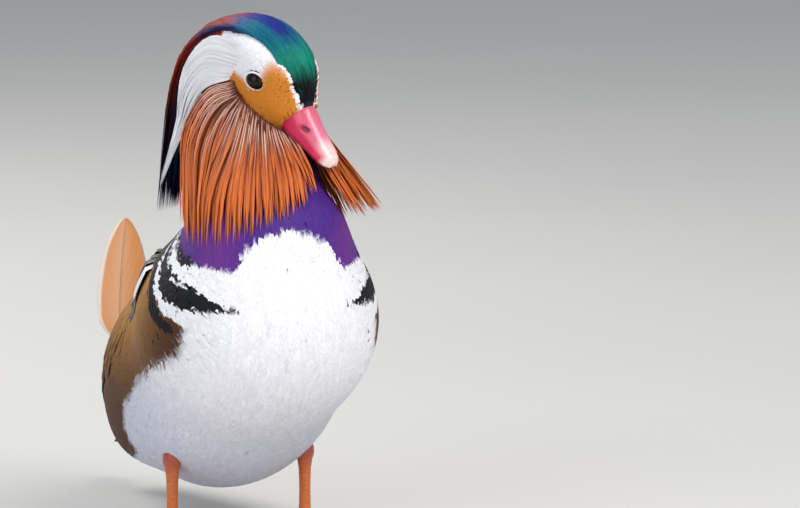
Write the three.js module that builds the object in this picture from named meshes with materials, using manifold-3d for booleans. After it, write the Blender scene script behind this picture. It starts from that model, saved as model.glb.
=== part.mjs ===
// A mandarin drake that stands on both feet with its head turned and bowed, life size, in millimetres.
// +X is the bird's left, -Y its front and +Z up. Angles are in degrees. A side is 1 for left, -1 for right.
import * as THREE from "three";
import { mergeVertices } from "three/addons/utils/BufferGeometryUtils.js";
import Module from "manifold-3d";

const wasm = await Module();
wasm.setup();

// Driving dimensions of the pose
const BODY_TILT = 42; // rise of the body's long axis towards the breast
const BACK_TILT = 36; // the same at the lower back
const RUMP_TILT = 30; // at the rump
const TAIL_TILT = 22; // and at the tail's root
const HEAD_TURN = 27; // head turned to its left
const HEAD_BOW = 32; // head bowed below level
const HEAD_ROLL = 6; // crown leaning to the bird's right
const EYE_LEVEL = [9, -25, 233.5]; // point on the head's middle plane between the eyes

// Driving dimensions of the surface and of the cuts
const GAP = 0.4; // kept between nodes that meet
const CLEAR = 0.65; // kept between the body and what grows on it, more because both are faceted
const SEGMENTS = 26; // round the body
const RINGS = 30; // along the body, from the tail end to the neck's top
const CAP_RINGS = 4; // on each rounded end
const HEAD_SEGMENTS = 24; // round the head
const HEAD_RINGS = 16; // from the back of the head to the face

const rad = THREE.MathUtils.degToRad;
const V = (x, y, z) => new THREE.Vector3(x, y, z);
const lerp = THREE.MathUtils.lerp;
const smooth = (t) => THREE.MathUtils.smoothstep(t, 0, 1);

// The three directions of a part of the body that is turned, raised and rolled
function axesOf(turn, rise, roll) {
  const level = V(Math.sin(rad(turn)), -Math.cos(rad(turn)), 0);
  const forward = level.multiplyScalar(Math.cos(rad(rise)));
  forward.z = Math.sin(rad(rise));
  const left = V(Math.cos(rad(turn)), Math.sin(rad(turn)), 0);
  left.applyAxisAngle(forward, rad(roll));
  const up = V(0, 0, 0).crossVectors(forward, left);
  return { forward, left, up };
}
const BODY = axesOf(0, BODY_TILT, 0);
const HEAD = axesOf(HEAD_TURN, -HEAD_BOW, HEAD_ROLL);
const headPoint = (ahead, left, up) =>
  V(...EYE_LEVEL)
    .addScaledVector(HEAD.forward, ahead)
    .addScaledVector(HEAD.left, left)
    .addScaledVector(HEAD.up, up);

// Lumps of flesh and plumage: a centre, half sizes along forward, left and up, and the directions they lie in
const lump = (at, size, axes) => ({ at, size, axes });
const headLump = (ahead, left, up, size) => lump(headPoint(ahead, left, up), size, HEAD);
const BODY_LUMPS = [
  lump(V(0, -27, 112), [60, 60, 56], BODY), // breast
  lump(V(0, 6, 84), [74, 55, 52], BODY), // belly and back
  lump(V(29, 25, 80), [60, 27, 37], BODY), // left flank
  lump(V(-29, 25, 80), [60, 27, 37], BODY), // right flank
  lump(V(0, 42, 72), [60, 47, 38], axesOf(0, BACK_TILT, 0)), // lower back
  lump(V(0, 66, 61), [56, 35, 27], axesOf(0, RUMP_TILT, 0)), // rump
  lump(V(0, 96, 46), [30, 20, 14], axesOf(0, TAIL_TILT, 0)), // tail root
  lump(V(0, -40, 150), [38, 42, 34], axesOf(0, 60, 0)), // neck base
  lump(V(1, -23, 178), [30, 31, 34], axesOf(0, 75, 0)), // neck
  lump(V(3, -12, 204), [26, 23, 25], axesOf(0, 90, 0)), // neck top
];
const HEAD_LUMPS = [
  headLump(-9, 0, 3, [27, 14, 17]), // crown
  headLump(8, 0, 2, [19, 12.6, 14]), // face
  headLump(1, 7.5, 10.5, [17, 7.5, 9.5]), // left brow
  headLump(1, -7.5, 10.5, [17, 7.5, 9.5]), // right brow
  headLump(4, 6, -6, [16, 8.5, 11]), // left cheek
  headLump(4, -6, -6, [16, 8.5, 11]), // right cheek
  headLump(19, 0, -4.5, [11, 9, 9]), // behind the bill
  headLump(-22, 0, -9, [21, 15, 18]), // nape
  headLump(-22, 0, -22, [16, 14, 14]), // under the nape
];
const BLEND = 9; // how softly lumps run into one another

// Distance to an ellipsoid, close to true near its surface and negative inside
function lumpDistance(p, { at, size, axes }) {
  const d = p.clone().sub(at);
  const q = [d.dot(axes.forward), d.dot(axes.left), d.dot(axes.up)];
  const near = Math.hypot(...q.map((x, i) => x / size[i]));
  const steep = Math.hypot(...q.map((x, i) => x / size[i] ** 2));
  return steep < 1e-9 ? -Math.min(...size) : (near * (near - 1)) / steep;
}

// The smaller of two distances, rounded where they are alike
function blendOf(a, b, width) {
  const h = Math.max(width - Math.abs(a - b), 0) / width;
  return Math.min(a, b) - (h * h * width) / 4;
}
const fieldOf = (lumps) => (p) => lumps.map((l) => lumpDistance(p, l)).reduce((a, b) => blendOf(a, b, BLEND));
const bodyField = fieldOf(BODY_LUMPS);
const headField = fieldOf(HEAD_LUMPS);
const wholeField = (p) => blendOf(bodyField(p), headField(p), BLEND);

// The outward direction of a field at a point
function slopeOf(field, p) {
  const step = 0.05;
  const rise = (axis) => {
    const [more, less] = [p.clone(), p.clone()];
    more[axis] += step;
    less[axis] -= step;
    return field(more) - field(less);
  };
  return V(rise("x"), rise("y"), rise("z")).normalize();
}

// Walks from a point inside a form along a direction until the field reaches the height asked for
function reach(field, from, towards, height) {
  let far = 0;
  for (let i = 0; i < 60; i++) {
    const d = field(from.clone().addScaledVector(towards, far)) - height;
    if (Math.abs(d) < 0.004) break;
    far -= d * 0.9;
  }
  return from.clone().addScaledVector(towards, far);
}

// Moves a point square to the whole bird's surface until it stands at the height asked for
function settle(p, height) {
  const moved = p.clone();
  for (let i = 0; i < 12; i++) {
    const off = wholeField(moved) - height;
    moved.addScaledVector(slopeOf(wholeField, moved), -off);
  }
  return moved;
}

// The line inside the body that its rings stand on, from the tail end up to the neck's top
const SPINE = new THREE.CatmullRomCurve3(
  [
    V(0, 112, 41),
    V(0, 90, 50),
    V(0, 62, 64),
    V(0, 36, 80),
    V(0, 4, 103),
    V(0, -20, 130),
    V(0, -27, 155),
    V(1, -24, 178),
    V(3, -17, 200),
    V(5, -15, 214),
  ],
  false,
  "centripetal",
);

// The ring's own directions at a place on the spine, 0 at the tail end and 1 at the neck's top
function ringAxes(along) {
  const ahead = SPINE.getTangentAt(along);
  const left = V(1, 0, 0).addScaledVector(ahead, -ahead.x).normalize();
  return { ahead, left, up: V(0, 0, 0).crossVectors(ahead, left) };
}

// A point over the body: around is the angle from the back's middle line, positive to the left, along is the
// place on the spine, which goes over the rounded ends below 0 and above 1, and height stands off the surface
function onBody(around, along, height) {
  const at = THREE.MathUtils.clamp(along, 0, 1);
  const { ahead, left, up } = ringAxes(at);
  const out = up
    .clone()
    .multiplyScalar(Math.cos(rad(around)))
    .addScaledVector(left, Math.sin(rad(around)));
  const over = (Math.PI / 2) * (along - at);
  const towards = out.multiplyScalar(Math.cos(over)).addScaledVector(ahead, Math.sin(over));
  return reach(bodyField, SPINE.getPointAt(at), towards, height);
}

// A point over the head: around is the angle from the crown, positive to the left, and over runs from 0 at
// the back of the head to 180 at the face
const HEAD_CENTRE = headPoint(-5, 0, 0);
function onHead(around, over, height) {
  const towards = HEAD.up
    .clone()
    .multiplyScalar(Math.cos(rad(around)))
    .addScaledVector(HEAD.left, Math.sin(rad(around)))
    .multiplyScalar(Math.sin(rad(over)))
    .addScaledVector(HEAD.forward, -Math.cos(rad(over)));
  return reach(headField, HEAD_CENTRE, towards, height);
}

// A closed solid from rings of points, each with the same count; a ring of one place is a point
function solidOf(rings) {
  const count = rings[0].length;
  const faces = [];
  for (let r = 0; r + 1 < rings.length; r++)
    for (let i = 0; i < count; i++) {
      const a = r * count + i;
      const b = r * count + ((i + 1) % count);
      faces.push(a, b, b + count, a, b + count, a + count);
    }
  const last = (rings.length - 1) * count;
  for (let i = 1; i + 1 < count; i++) {
    faces.push(0, i + 1, i);
    faces.push(last, last + i, last + i + 1);
  }
  return manifoldOf(new THREE.BufferGeometry().setFromPoints(rings.flat()).setIndex(faces));
}

// A solid for joining and cutting from a closed geometry, turned so that its faces point out
function manifoldOf(geometry) {
  const bare = new THREE.BufferGeometry().setAttribute("position", geometry.getAttribute("position"));
  bare.setIndex(geometry.index);
  const merged = mergeVertices(bare, 1e-3);
  const index = merged.index.array;
  const facing = (flip) => {
    const kept = [];
    for (let i = 0; i < index.length; i += 3) {
      const [a, b, c] = [index[i], index[i + 1], index[i + 2]];
      if (a !== b && b !== c && c !== a) kept.push(a, flip ? c : b, flip ? b : c);
    }
    const vertProperties = merged.attributes.position.array;
    return new wasm.Manifold(new wasm.Mesh({ numProp: 3, vertProperties, triVerts: new Uint32Array(kept) }));
  };
  const solid = facing(false);
  return solid.volume() < 0 ? facing(true) : solid;
}
const joined = (solids) => wasm.Manifold.union(solids);

// The body or the head at a height off its surface
function bodySolid(height) {
  const steps = [];
  for (let i = CAP_RINGS; i > 0; i--) steps.push(-i / CAP_RINGS);
  for (let i = 0; i <= RINGS; i++) steps.push(i / RINGS);
  for (let i = 1; i <= CAP_RINGS; i++) steps.push(1 + i / CAP_RINGS);
  const angles = Array.from({ length: SEGMENTS }, (_, i) => (360 * i) / SEGMENTS);
  return solidOf(steps.map((along) => angles.map((around) => onBody(around, along, height))));
}
function headSolid(height) {
  const angles = Array.from({ length: HEAD_SEGMENTS }, (_, i) => (360 * i) / HEAD_SEGMENTS);
  const overs = Array.from({ length: HEAD_RINGS + 1 }, (_, i) => (180 * i) / HEAD_RINGS);
  return solidOf(overs.map((over) => angles.map((around) => onHead(around, over, height))));
}

// A solid from sections along a smooth line: wide is its half width at each step, rise its height on the
// outer side and drop that on the inner; edge is half the thickness of the sides, and none makes them sharp
function swept({ line, out, wide, rise, drop, edge = 0, steps = 5, grown = 0, tilt = 0 }) {
  const curve = new THREE.CatmullRomCurve3(line, false, "centripetal");
  const sections = [];
  for (let i = 0; i <= steps; i++) {
    const t = Math.sin((Math.PI / 2) * (i / steps)) * 0.5 + (i / steps) * 0.5;
    const at = curve.getPoint(t);
    const ahead = curve.getTangent(t);
    const lifted = out[0].clone().lerp(out[1], t);
    const outward = lifted.addScaledVector(ahead, -lifted.dot(ahead)).normalize();
    outward.applyAxisAngle(ahead, rad(tilt));
    const side = V(0, 0, 0).crossVectors(outward, ahead);
    const [w, r, d] = [wide(t) + grown, rise(t) + grown, drop(t) + grown];
    const sharp = i === steps && w <= grown + 0.01;
    if (sharp) at.addScaledVector(ahead, grown);
    const place = (across, up) => at.clone().addScaledVector(side, across).addScaledVector(outward, up);
    const sides = edge + grown > 0 ? edge + grown : 0;
    const ring = sides
      ? [place(w, -sides), place(w, sides), place(0, r), place(-w, sides), place(-w, -sides), place(0, -d)]
      : [place(w, 0), place(0, r), place(-w, 0), place(0, -d)];
    sections.push(sharp && !grown ? ring.map(() => at) : ring);
  }
  return solidOf(sections);
}
const locked = (most) => (t) => most * (0.5 + 1.4 * t) * Math.max(1 - t, 0) ** 0.6;
const rounded = (most) => (t) => {
  const tip = Math.max(t - 0.62, 0) / 0.38;
  return most * (0.5 + 0.5 * smooth(t / 0.4)) * Math.sqrt(Math.max(1 - tip ** 2, 0));
};
const thinning = (root, tip) => (t) => lerp(root, tip, t);

// Seeded draws, so that every build is alike
function drawsFrom(seed) {
  let state = seed;
  return (spread) => {
    state = (state * 1664525 + 1013904223) % 4294967296;
    return (state / 4294967296 - 0.5) * 2 * spread;
  };
}

// A round or oval lump placed along three directions
function lumpSolid({ at, size, axes }, across = 16, high = 10) {
  const ball = new THREE.SphereGeometry(1, across, high);
  const frame = new THREE.Matrix4().makeBasis(
    axes.forward.clone().multiplyScalar(size[0]),
    axes.left.clone().multiplyScalar(size[1]),
    axes.up.clone().multiplyScalar(size[2]),
  );
  return manifoldOf(ball.applyMatrix4(frame.setPosition(at)));
}

const nodes = [];
const node = (name, solid, color, roughness = 0.8) => nodes.push({ name, solid, color, roughness });
const SIDES = [
  ["left", 1],
  ["right", -1],
];

// Torso, neck and head, parted by thin cuts
const NECK_CUT = 0.8; // place on the spine where the neck starts
const whole = bodySolid(0);
const headWhole = headSolid(0);
const kept = joined([bodySolid(CLEAR), headSolid(CLEAR)]);
const cutAlong = SPINE.getTangentAt(NECK_CUT);
const cutAt = cutAlong.dot(SPINE.getPointAt(NECK_CUT));
const plain = (v) => v.toArray();
node("torso", whole.trimByPlane(plain(cutAlong.clone().negate()), -cutAt + GAP / 2), "#e6e6ee");
node("neck", whole.trimByPlane(plain(cutAlong), cutAt + GAP / 2).subtract(headSolid(GAP)), "#5b2a78");

// Eyes, set in sockets with a raised rim of lid round each
const EYE = { ahead: 3.7, up: 3.8, radius: 4.9, sunk: 2.3 };
const LID = { long: 4.5, high: 4.2, thick: 0.8 };
const EYE_FACES = [12, 8]; // round an eye and over it
const eyeSurface = (side) =>
  reach(headField, headPoint(EYE.ahead, 0, EYE.up), HEAD.left.clone().multiplyScalar(side), 0);
const eyeLump = (side, radius) => {
  const at = eyeSurface(side);
  return lump(at.addScaledVector(slopeOf(headField, at), -EYE.sunk), [radius, radius, radius], HEAD);
};
function lidSolid(side) {
  const ring = new THREE.TorusGeometry(1, LID.thick / LID.long, 5, 14);
  const at = eyeSurface(side);
  const out = slopeOf(headField, at);
  const along = V(0, 0, 0).crossVectors(HEAD.up, out).normalize();
  const frame = new THREE.Matrix4().makeBasis(
    along.clone().multiplyScalar(LID.long),
    V(0, 0, 0).crossVectors(out, along).multiplyScalar(LID.high),
    out.clone().multiplyScalar(LID.long),
  );
  return manifoldOf(ring.applyMatrix4(frame.setPosition(at)));
}
const lids = SIDES.map(([, side]) => lidSolid(side));
const sockets = SIDES.map(([, side]) => lumpSolid(eyeLump(side, EYE.radius + GAP), ...EYE_FACES));
node("head", joined([headWhole, ...lids]).subtract(joined(sockets)), "#f2ece4");
for (const [name, side] of SIDES)
  node(`eye_${name}`, lumpSolid(eyeLump(side, EYE.radius), ...EYE_FACES), "#120c08", 0.1);

// Bill: sections of its upper half from inside the face to the tip, each as ahead, top, edge and half width
const BILL = [
  [18, 3.6, -10, 7],
  [24, 3.4, -11, 8.6],
  [29.5, 2.2, -11.8, 8.7],
  [35, -0.8, -12.3, 8],
  [41, -3.9, -12.8, 7.2],
  [46.5, -6.4, -13.4, 6.8],
  [50.5, -8, -14, 6.2],
  [53.8, -9.7, -14.6, 4.6],
  [55.6, -12.2, -14.9, 1.9],
];
const LOWER_BILL = { thick: 2.6, inset: 0.7, end: 53 };
const NAIL_START = 49.8;
const NOSTRIL = { ahead: 35.5, side: 6.4, up: -5.4, long: 2.4, high: 0.9, deep: 1.2 };
const BILL_SIDES = 8;
const upperSections = BILL.map(([ahead, top, edge, half]) => {
  const over = Array.from({ length: BILL_SIDES + 1 }, (_, i) => (Math.PI * i) / BILL_SIDES - Math.PI / 2);
  const ring = over.map((angle) =>
    headPoint(ahead, half * Math.sin(angle), edge + (top - edge) * Math.cos(angle) ** 0.85),
  );
  return [...ring, headPoint(ahead, half / 2, edge + 0.3), headPoint(ahead, -half / 2, edge + 0.3)];
});
const nostrils = SIDES.map(([, side]) => {
  const { ahead, side: out, up, long, high, deep } = NOSTRIL;
  return lumpSolid(headLump(ahead, side * out, up, [long, deep, high]), 8, 6);
});
const upperBill = solidOf(upperSections).subtract(kept);
const lowerBill = solidOf(
  BILL.filter(([ahead]) => ahead < LOWER_BILL.end).map(([ahead, , edge, half]) => {
    const [w, top] = [half - LOWER_BILL.inset, edge - GAP];
    const deep = LOWER_BILL.thick * (1 - ((ahead - 18) / 60) ** 2);
    return [
      headPoint(ahead, -w, top),
      headPoint(ahead, w, top),
      headPoint(ahead, w * 0.8, top - deep * 0.7),
      headPoint(ahead, w * 0.3, top - deep),
      headPoint(ahead, -w * 0.3, top - deep),
      headPoint(ahead, -w * 0.8, top - deep * 0.7),
    ];
  }),
).subtract(kept);
const billRoom = solidOf(
  BILL.map(([ahead, top, edge, half], i) => {
    const [w, low] = [half + GAP, edge - LOWER_BILL.thick - 2 * GAP];
    const at = i === BILL.length - 1 ? ahead + GAP : ahead;
    const ring = [
      [-w, edge],
      [-w * 0.7, top - 1],
      [0, top + GAP],
      [w * 0.7, top - 1],
      [w, edge],
      [w * 0.8, low],
      [-w * 0.8, low],
    ];
    return ring.map(([left, up]) => headPoint(at, left, up));
  }),
);
const nailAt = HEAD.forward.dot(headPoint(NAIL_START, 0, 0));
node(
  "bill_upper",
  upperBill.subtract(joined(nostrils)).trimByPlane(plain(HEAD.forward.clone().negate()), -nailAt + GAP / 2),
  "#d6285a",
  0.4,
);
node("bill_nail", upperBill.trimByPlane(plain(HEAD.forward), nailAt + GAP / 2), "#f3d9d6", 0.4);
node("bill_lower", lowerBill, "#c9205a", 0.4);

// A fan of plumes: columns from one border to the other, each with as many places from root to tip; a place
// on the fan is across, 0 to 1 over the columns, and down, 0 at the roots and 1 at the tips
function fanOf(columns) {
  const threads = columns[0].map(
    (_, k) => new THREE.CatmullRomCurve3(columns.map((column) => column[k]), false, "centripetal"),
  );
  const count = columns.length - 1;
  const at = (thread, across) => {
    const place = THREE.MathUtils.clamp(across, 0, 1) * count;
    const from = Math.min(Math.floor(place), count - 1);
    const part = place - from;
    return thread.getPoint((from + part) / count);
  };
  return (across, down) => {
    const places = threads.map((thread) => at(thread, across));
    const line = new THREE.CatmullRomCurve3(places, false, "centripetal");
    return line.getPoint(THREE.MathUtils.clamp(down, 0, 1));
  };
}
const atLeast = (p, height) => (wholeField(p) < height ? settle(p, height) : p);
const outwardAt = (p) => slopeOf(wholeField, p);

// The direction square to a fan at a place on it, on the side away from the body
function fanOut(fan, across, down) {
  const step = 0.02;
  const wider = fan(across + step, down).sub(fan(across - step, down));
  const end = Math.min(down + step, 1);
  const lower = fan(across, end).sub(fan(across, end - 2 * step));
  const square = V(0, 0, 0).crossVectors(wider, lower).normalize();
  return square.dot(outwardAt(fan(across, down))) < 0 ? square.negate() : square;
}

// A pad between a fan and the body, over a stretch of the fan
function padOf(fan, { from, to, start = 0, end = 1, columns, rows }) {
  const rings = [];
  for (let c = 0; c <= columns; c++) {
    const across = lerp(start, end, c / columns);
    const top = [];
    const under = [];
    for (let r = 0; r <= rows; r++) {
      const p = fan(across, lerp(from, to, r / rows));
      const thin = c === 0 || c === columns || r === rows;
      top.push(thin ? p.clone().addScaledVector(outwardAt(p), -0.8) : p);
      under.unshift(settle(p, -1.5));
    }
    rings.push([...top, ...under]);
  }
  return solidOf(rings);
}

// Locks laid along a fan in tiers, each tier with its count, the stretch it covers, its half width and height
function locksOn(fan, tiers, draw) {
  const locks = [];
  for (const { count, from, to, half, height, thick, start = 0, end = 1 } of tiers)
    for (let i = 0; i < count; i++) {
      const across = lerp(start, end, (i + 0.5) / count) + draw(0.1 / count);
      const last = to + draw(0.03);
      const places = [0, 0.3, 0.65, 1].map((t) => {
        const p = fan(across + draw(0.006), lerp(from, last, t));
        const sunk = t === 0 ? -1.6 : height + draw(0.25);
        return atLeast(p.addScaledVector(outwardAt(p), sunk), t === 0 ? -9 : 1.3);
      });
      locks.push(
        swept({
          line: places,
          out: [fanOut(fan, across, lerp(from, last, 0.3)), fanOut(fan, across, last)],
          wide: locked(half),
          rise: thinning(thick, 0.3),
          drop: thinning(thick, 0.25),
          steps: 3,
        }),
      );
    }
  return locks;
}

// Ruff: for each side, columns from the rear of the cheek round to the throat, as a root in the head's
// directions and a tip in the bird's own, with the bulge of the hackles between them
const RUFF = {
  right: {
    bulge: 10,
    push: 3,
    columns: [
      [[-27, -16, -29], [-29, 2, 157]],
      [[-19, -16, -17], [-33, -15, 152]],
      [[-10, -15.5, -5], [-33, -33, 151]],
      [[-4, -15.5, -7], [-32, -52, 153]],
      [[2, -15, -8.5], [-28, -69, 157]],
      [[13, -12.5, -10.5], [-17, -75, 165]],
      [[21, -9.5, -12], [-1, -74, 173]],
      [[24, -4.5, -13.5], [12, -67, 184]],
    ],
  },
  left: {
    bulge: 5,
    push: 0,
    columns: [
      [[-27, 16, -29], [27, 16, 168]],
      [[-19, 16, -17], [38, 2, 163]],
      [[-10, 15.5, -5], [46, -12, 160]],
      [[-4, 15.5, -7], [53, -24, 163]],
      [[2, 15, -8.5], [58, -36, 166]],
      [[13, 12.5, -10.5], [56, -56, 169]],
      [[21, 9.5, -12], [43, -62, 167]],
      [[24, 4.5, -13.5], [33, -63, 178]],
    ],
  },
};
const ruffTiers = [
  { count: 9, from: 0.3, to: 1, half: 7.6, height: -0.2, thick: 0.8 },
  { count: 7, from: 0.16, to: 0.84, half: 7, height: 1.8, thick: 0.8 },
  { count: 5, from: 0.02, to: 0.58, half: 6.4, height: 3.4, thick: 0.7, start: 0.04, end: 0.96 },
];
const ruffFan = (name) =>
  fanOf(
    RUFF[name].columns.map(([root, tip]) => {
      const { bulge, push } = RUFF[name];
      const from = settle(headPoint(...root), 0.5);
      const to = atLeast(V(...tip), 3);
      const between = (t, height) => {
        const p = from.clone().lerp(to, t);
        return atLeast(p.addScaledVector(outwardAt(p), push), height);
      };
      return [from, between(0.3, bulge * 0.8), between(0.65, bulge), to];
    }),
  );
for (const [name, side] of SIDES) {
  const fan = ruffFan(name);
  const pad = padOf(fan, { from: 0.02, to: 0.62, start: 0.02, end: 0.98, columns: 7, rows: 4 });
  const locks = locksOn(fan, ruffTiers, drawsFrom(20 + side));
  node(`ruff_${name}`, joined([pad, ...locks]).subtract(joined([kept, billRoom])), "#b9561f");
}

// Crest: its middle line from the bill over the crown and down behind the neck, with the half width at each
// place and how far its borders bend down
const CREST = [
  [headPoint(28, 0, 4), 4.8, 1.5],
  [headPoint(21.5, 0, 16), 9, 6],
  [headPoint(12, 0, 23.5), 12, 6.5],
  [headPoint(-1, 0, 26), 12, 5.5],
  [headPoint(-14, 0, 25), 12, 5.5],
  [headPoint(-29, 0, 17.5), 11, 4.5],
  [headPoint(-45, 0, 1), 9.5, 3],
  [headPoint(-53.5, 0, -20), 9, 2],
  [headPoint(-52, -0.5, -42), 8.5, 1.5],
  [headPoint(-43, -3, -65), 8, 1.5],
  [headPoint(-27, -9, -102), 5, 0.6],
];
const crestLine = new THREE.CatmullRomCurve3(CREST.map(([p]) => p), false, "centripetal");
const crestValue = (t, which) => {
  const place = THREE.MathUtils.clamp(t, 0, 1) * (CREST.length - 1);
  const from = Math.min(Math.floor(place), CREST.length - 2);
  return lerp(CREST[from][which], CREST[from + 1][which], place - from);
};
const crestOut = (t) => V(0, 0, 0).crossVectors(crestLine.getTangent(t), HEAD.left).negate().normalize();
const crestPlace = (off, t, height) =>
  crestLine
    .getPoint(THREE.MathUtils.clamp(t, 0, 1))
    .addScaledVector(HEAD.left, off * crestValue(t, 1))
    .addScaledVector(crestOut(t), height - crestValue(t, 2) * Math.abs(off) ** 2.4);
const crestFan = (across, down) => crestPlace(across * 2 - 1, down, 0);
const CREST_CORE = { end: 0.84, steps: 15, hanging: 0.62, deep: 7 };
const crestCore = solidOf(
  Array.from({ length: CREST_CORE.steps }, (_, i) => {
    const t = (i / (CREST_CORE.steps - 1)) * CREST_CORE.end;
    const narrow = 1 - (i / (CREST_CORE.steps - 1)) ** 5 * 0.5;
    const inside = smooth((t - 0.1) / 0.15) * (1 - 0.75 * smooth((t - CREST_CORE.hanging) / 0.14));
    const deep = -1.4 - CREST_CORE.deep * inside;
    const top = [-1, -0.5, 0, 0.5, 1].map((off) => crestPlace(off * narrow, t, -0.5));
    return [...top, crestPlace(0.75 * narrow, t, deep), crestPlace(-0.75 * narrow, t, deep)];
  }),
);
const crestTiers = [
  { count: 4, from: 0.62, to: 1, half: 3.6, height: -1.8, thick: 0.8, start: 0.04, end: 0.96 },
  { count: 3, from: 0.5, to: 0.88, half: 4.6, height: 0.6, thick: 0.8, start: 0.06, end: 0.94 },
  { count: 3, from: 0.3, to: 0.66, half: 5, height: 0.9, thick: 0.7, start: 0.08, end: 0.92 },
];
node("crest", joined([crestCore, ...locksOn(crestFan, crestTiers, drawsFrom(31))]).subtract(kept), "#123f4a");

// White brow plumes beside the crest: columns from the crest's border to the ruff's, in the head's directions
const BROW = [
  [[-12, 14.6, 14], [-36, 13.4, 1], [-42.5, 13, -25], [-33.5, 14.2, -52], [-25, 20, -84]],
  [[-9, 15.4, 6], [-30, 15, -6], [-38, 14.6, -27], [-31.5, 15, -50], [-25, 20, -82]],
  [[-12, 15.6, -3], [-26, 16, -14], [-33, 16, -28], [-29, 15.5, -48], [-24.5, 20.5, -78]],
];
const browTiers = [
  { count: 3, from: 0.36, to: 1, half: 2.6, height: 0, thick: 0.7 },
  { count: 2, from: 0.14, to: 0.74, half: 4, height: 0.9, thick: 0.7 },
];
for (const [name, side] of SIDES) {
  const fan = fanOf(
    BROW.map((places) =>
      places.map(([ahead, out, up], i) => {
        const p = headPoint(ahead, side * out, up);
        return i < 2 ? settle(p, 0.8 + i) : p;
      }),
    ),
  );
  const pad = padOf(fan, { from: 0.1, to: 0.42, columns: 4, rows: 4 });
  const locks = locksOn(fan, browTiers, drawsFrom(40 + side));
  node(`brow_${name}`, joined([pad, ...locks]).subtract(kept), "#f6f4f0");
}

// A stretch of the body's surface on one side: across runs from the inner border to the outer, down from its
// front to its rear, and height stands off the surface
const stretchOf = (side, { inner, outer, front, rear }) => (across, down, height) =>
  onBody(side * lerp(inner, outer, across), lerp(front, rear, down), height);

// A thin pad just over a stretch, which all its feathers grow from
const PAD = { under: 1.1, over: 1.8 };
function padOn(place, columns = 4, rows = 5) {
  const rings = [];
  for (let r = 0; r <= rows; r++) {
    const top = [];
    const under = [];
    for (let c = 0; c <= columns; c++) {
      const down = r / rows;
      const wide = Math.sin(Math.PI * lerp(0.12, 0.9, down)) ** 0.5; // narrow at both ends
      const across = 0.5 + (c / columns - 0.5) * wide;
      top.push(place(across, down, PAD.over));
      under.unshift(place(across, down, PAD.under));
    }
    rings.push([...top, ...under]);
  }
  return solidOf(rings);
}

// Feathers laid over a stretch in tiers, the rear ones lowest
const RACHIS = 0.9; // height of a feather's middle ridge
const EDGE = 0.28; // half the thickness of its sides
const ROOT_HEIGHT = 1.45; // of a feather's root, inside its pad
const SHINGLE = 12; // tilt of each feather, so that its inner side lies over its neighbour's outer one
function feathersOn(place, tiers) {
  const feathers = [];
  for (const { count, from, to, half, low, high, start = 0, end = 1, lean = 0, slant = 0 } of tiers)
    for (let i = 0; i < count; i++) {
      const part = count > 1 ? i / (count - 1) : 0.5;
      const across = lerp(start, end, part);
      const last = to + slant * part;
      const line = [0, 0.35, 0.7, 1].map((t) => {
        const height = t === 0 ? ROOT_HEIGHT : lerp(low, high, t);
        return place(across + lean * t, lerp(from, last, t), height);
      });
      feathers.push(
        swept({
          line,
          out: [outwardAt(line[1]), outwardAt(line[3])],
          wide: rounded(half),
          rise: thinning(RACHIS, 0.35),
          drop: thinning(0.5, 0.3),
          edge: EDGE,
          steps: 3,
          tilt: SHINGLE,
        }),
      );
    }
  return feathers;
}

// Scapulars: long shoulder feathers that lie over the wing's front
const SHOULDER = { inner: 9, outer: 62, front: 0.67, rear: 0.47 };
const shoulderTiers = [
  { count: 4, from: 0.3, to: 1, half: 7, low: 2.6, high: 2.8, start: 0.12, end: 0.9 },
  { count: 3, from: 0.08, to: 0.6, half: 8.6, low: 4.2, high: 4.4, start: 0.16, end: 0.86 },
];

// Wing: the flight feathers of the arm, a tier of coverts over them, and the primaries that cross the rump
const WING = { inner: 33, outer: 62, front: 0.45, rear: 0.15 };
const wingTiers = [
  { count: 3, from: 0.3, to: 1, half: 6.4, low: 2.6, high: 2.8, start: 0.16, end: 0.84, lean: -0.08 },
  { count: 3, from: 0.1, to: 0.56, half: 7, low: 4.3, high: 4.5, start: 0.18, end: 0.82 },
];
const PRIMARIES = { count: 3, half: 5, tip: [16, 146, 44], apart: 9 };
function primariesOf(side) {
  return Array.from({ length: PRIMARIES.count }, (_, i) => {
    const [x, y, z] = PRIMARIES.tip;
    const tip = V(side * (x + i * 0.9), y - i * PRIMARIES.apart, z + i * 1.7);
    const line = [
      onBody(side * (52 + i * 1.5), 0.25, ROOT_HEIGHT),
      onBody(side * (48 + i * 1.5), 0.14, 2.2 + i * 0.8),
      V(side * (19 + i), 106 - i * 2, 60 + i * 1.5),
      tip,
    ];
    return swept({
      line,
      out: [outwardAt(line[1]), V(side * 0.35, 0.3, 1).normalize()],
      wide: (t) => PRIMARIES.half * (0.7 + 0.3 * smooth(t / 0.4)) * Math.max(1 - t, 0) ** 0.4,
      rise: thinning(RACHIS, 0.35),
      drop: thinning(0.5, 0.3),
      edge: EDGE,
      steps: 4,
    });
  });
}

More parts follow.
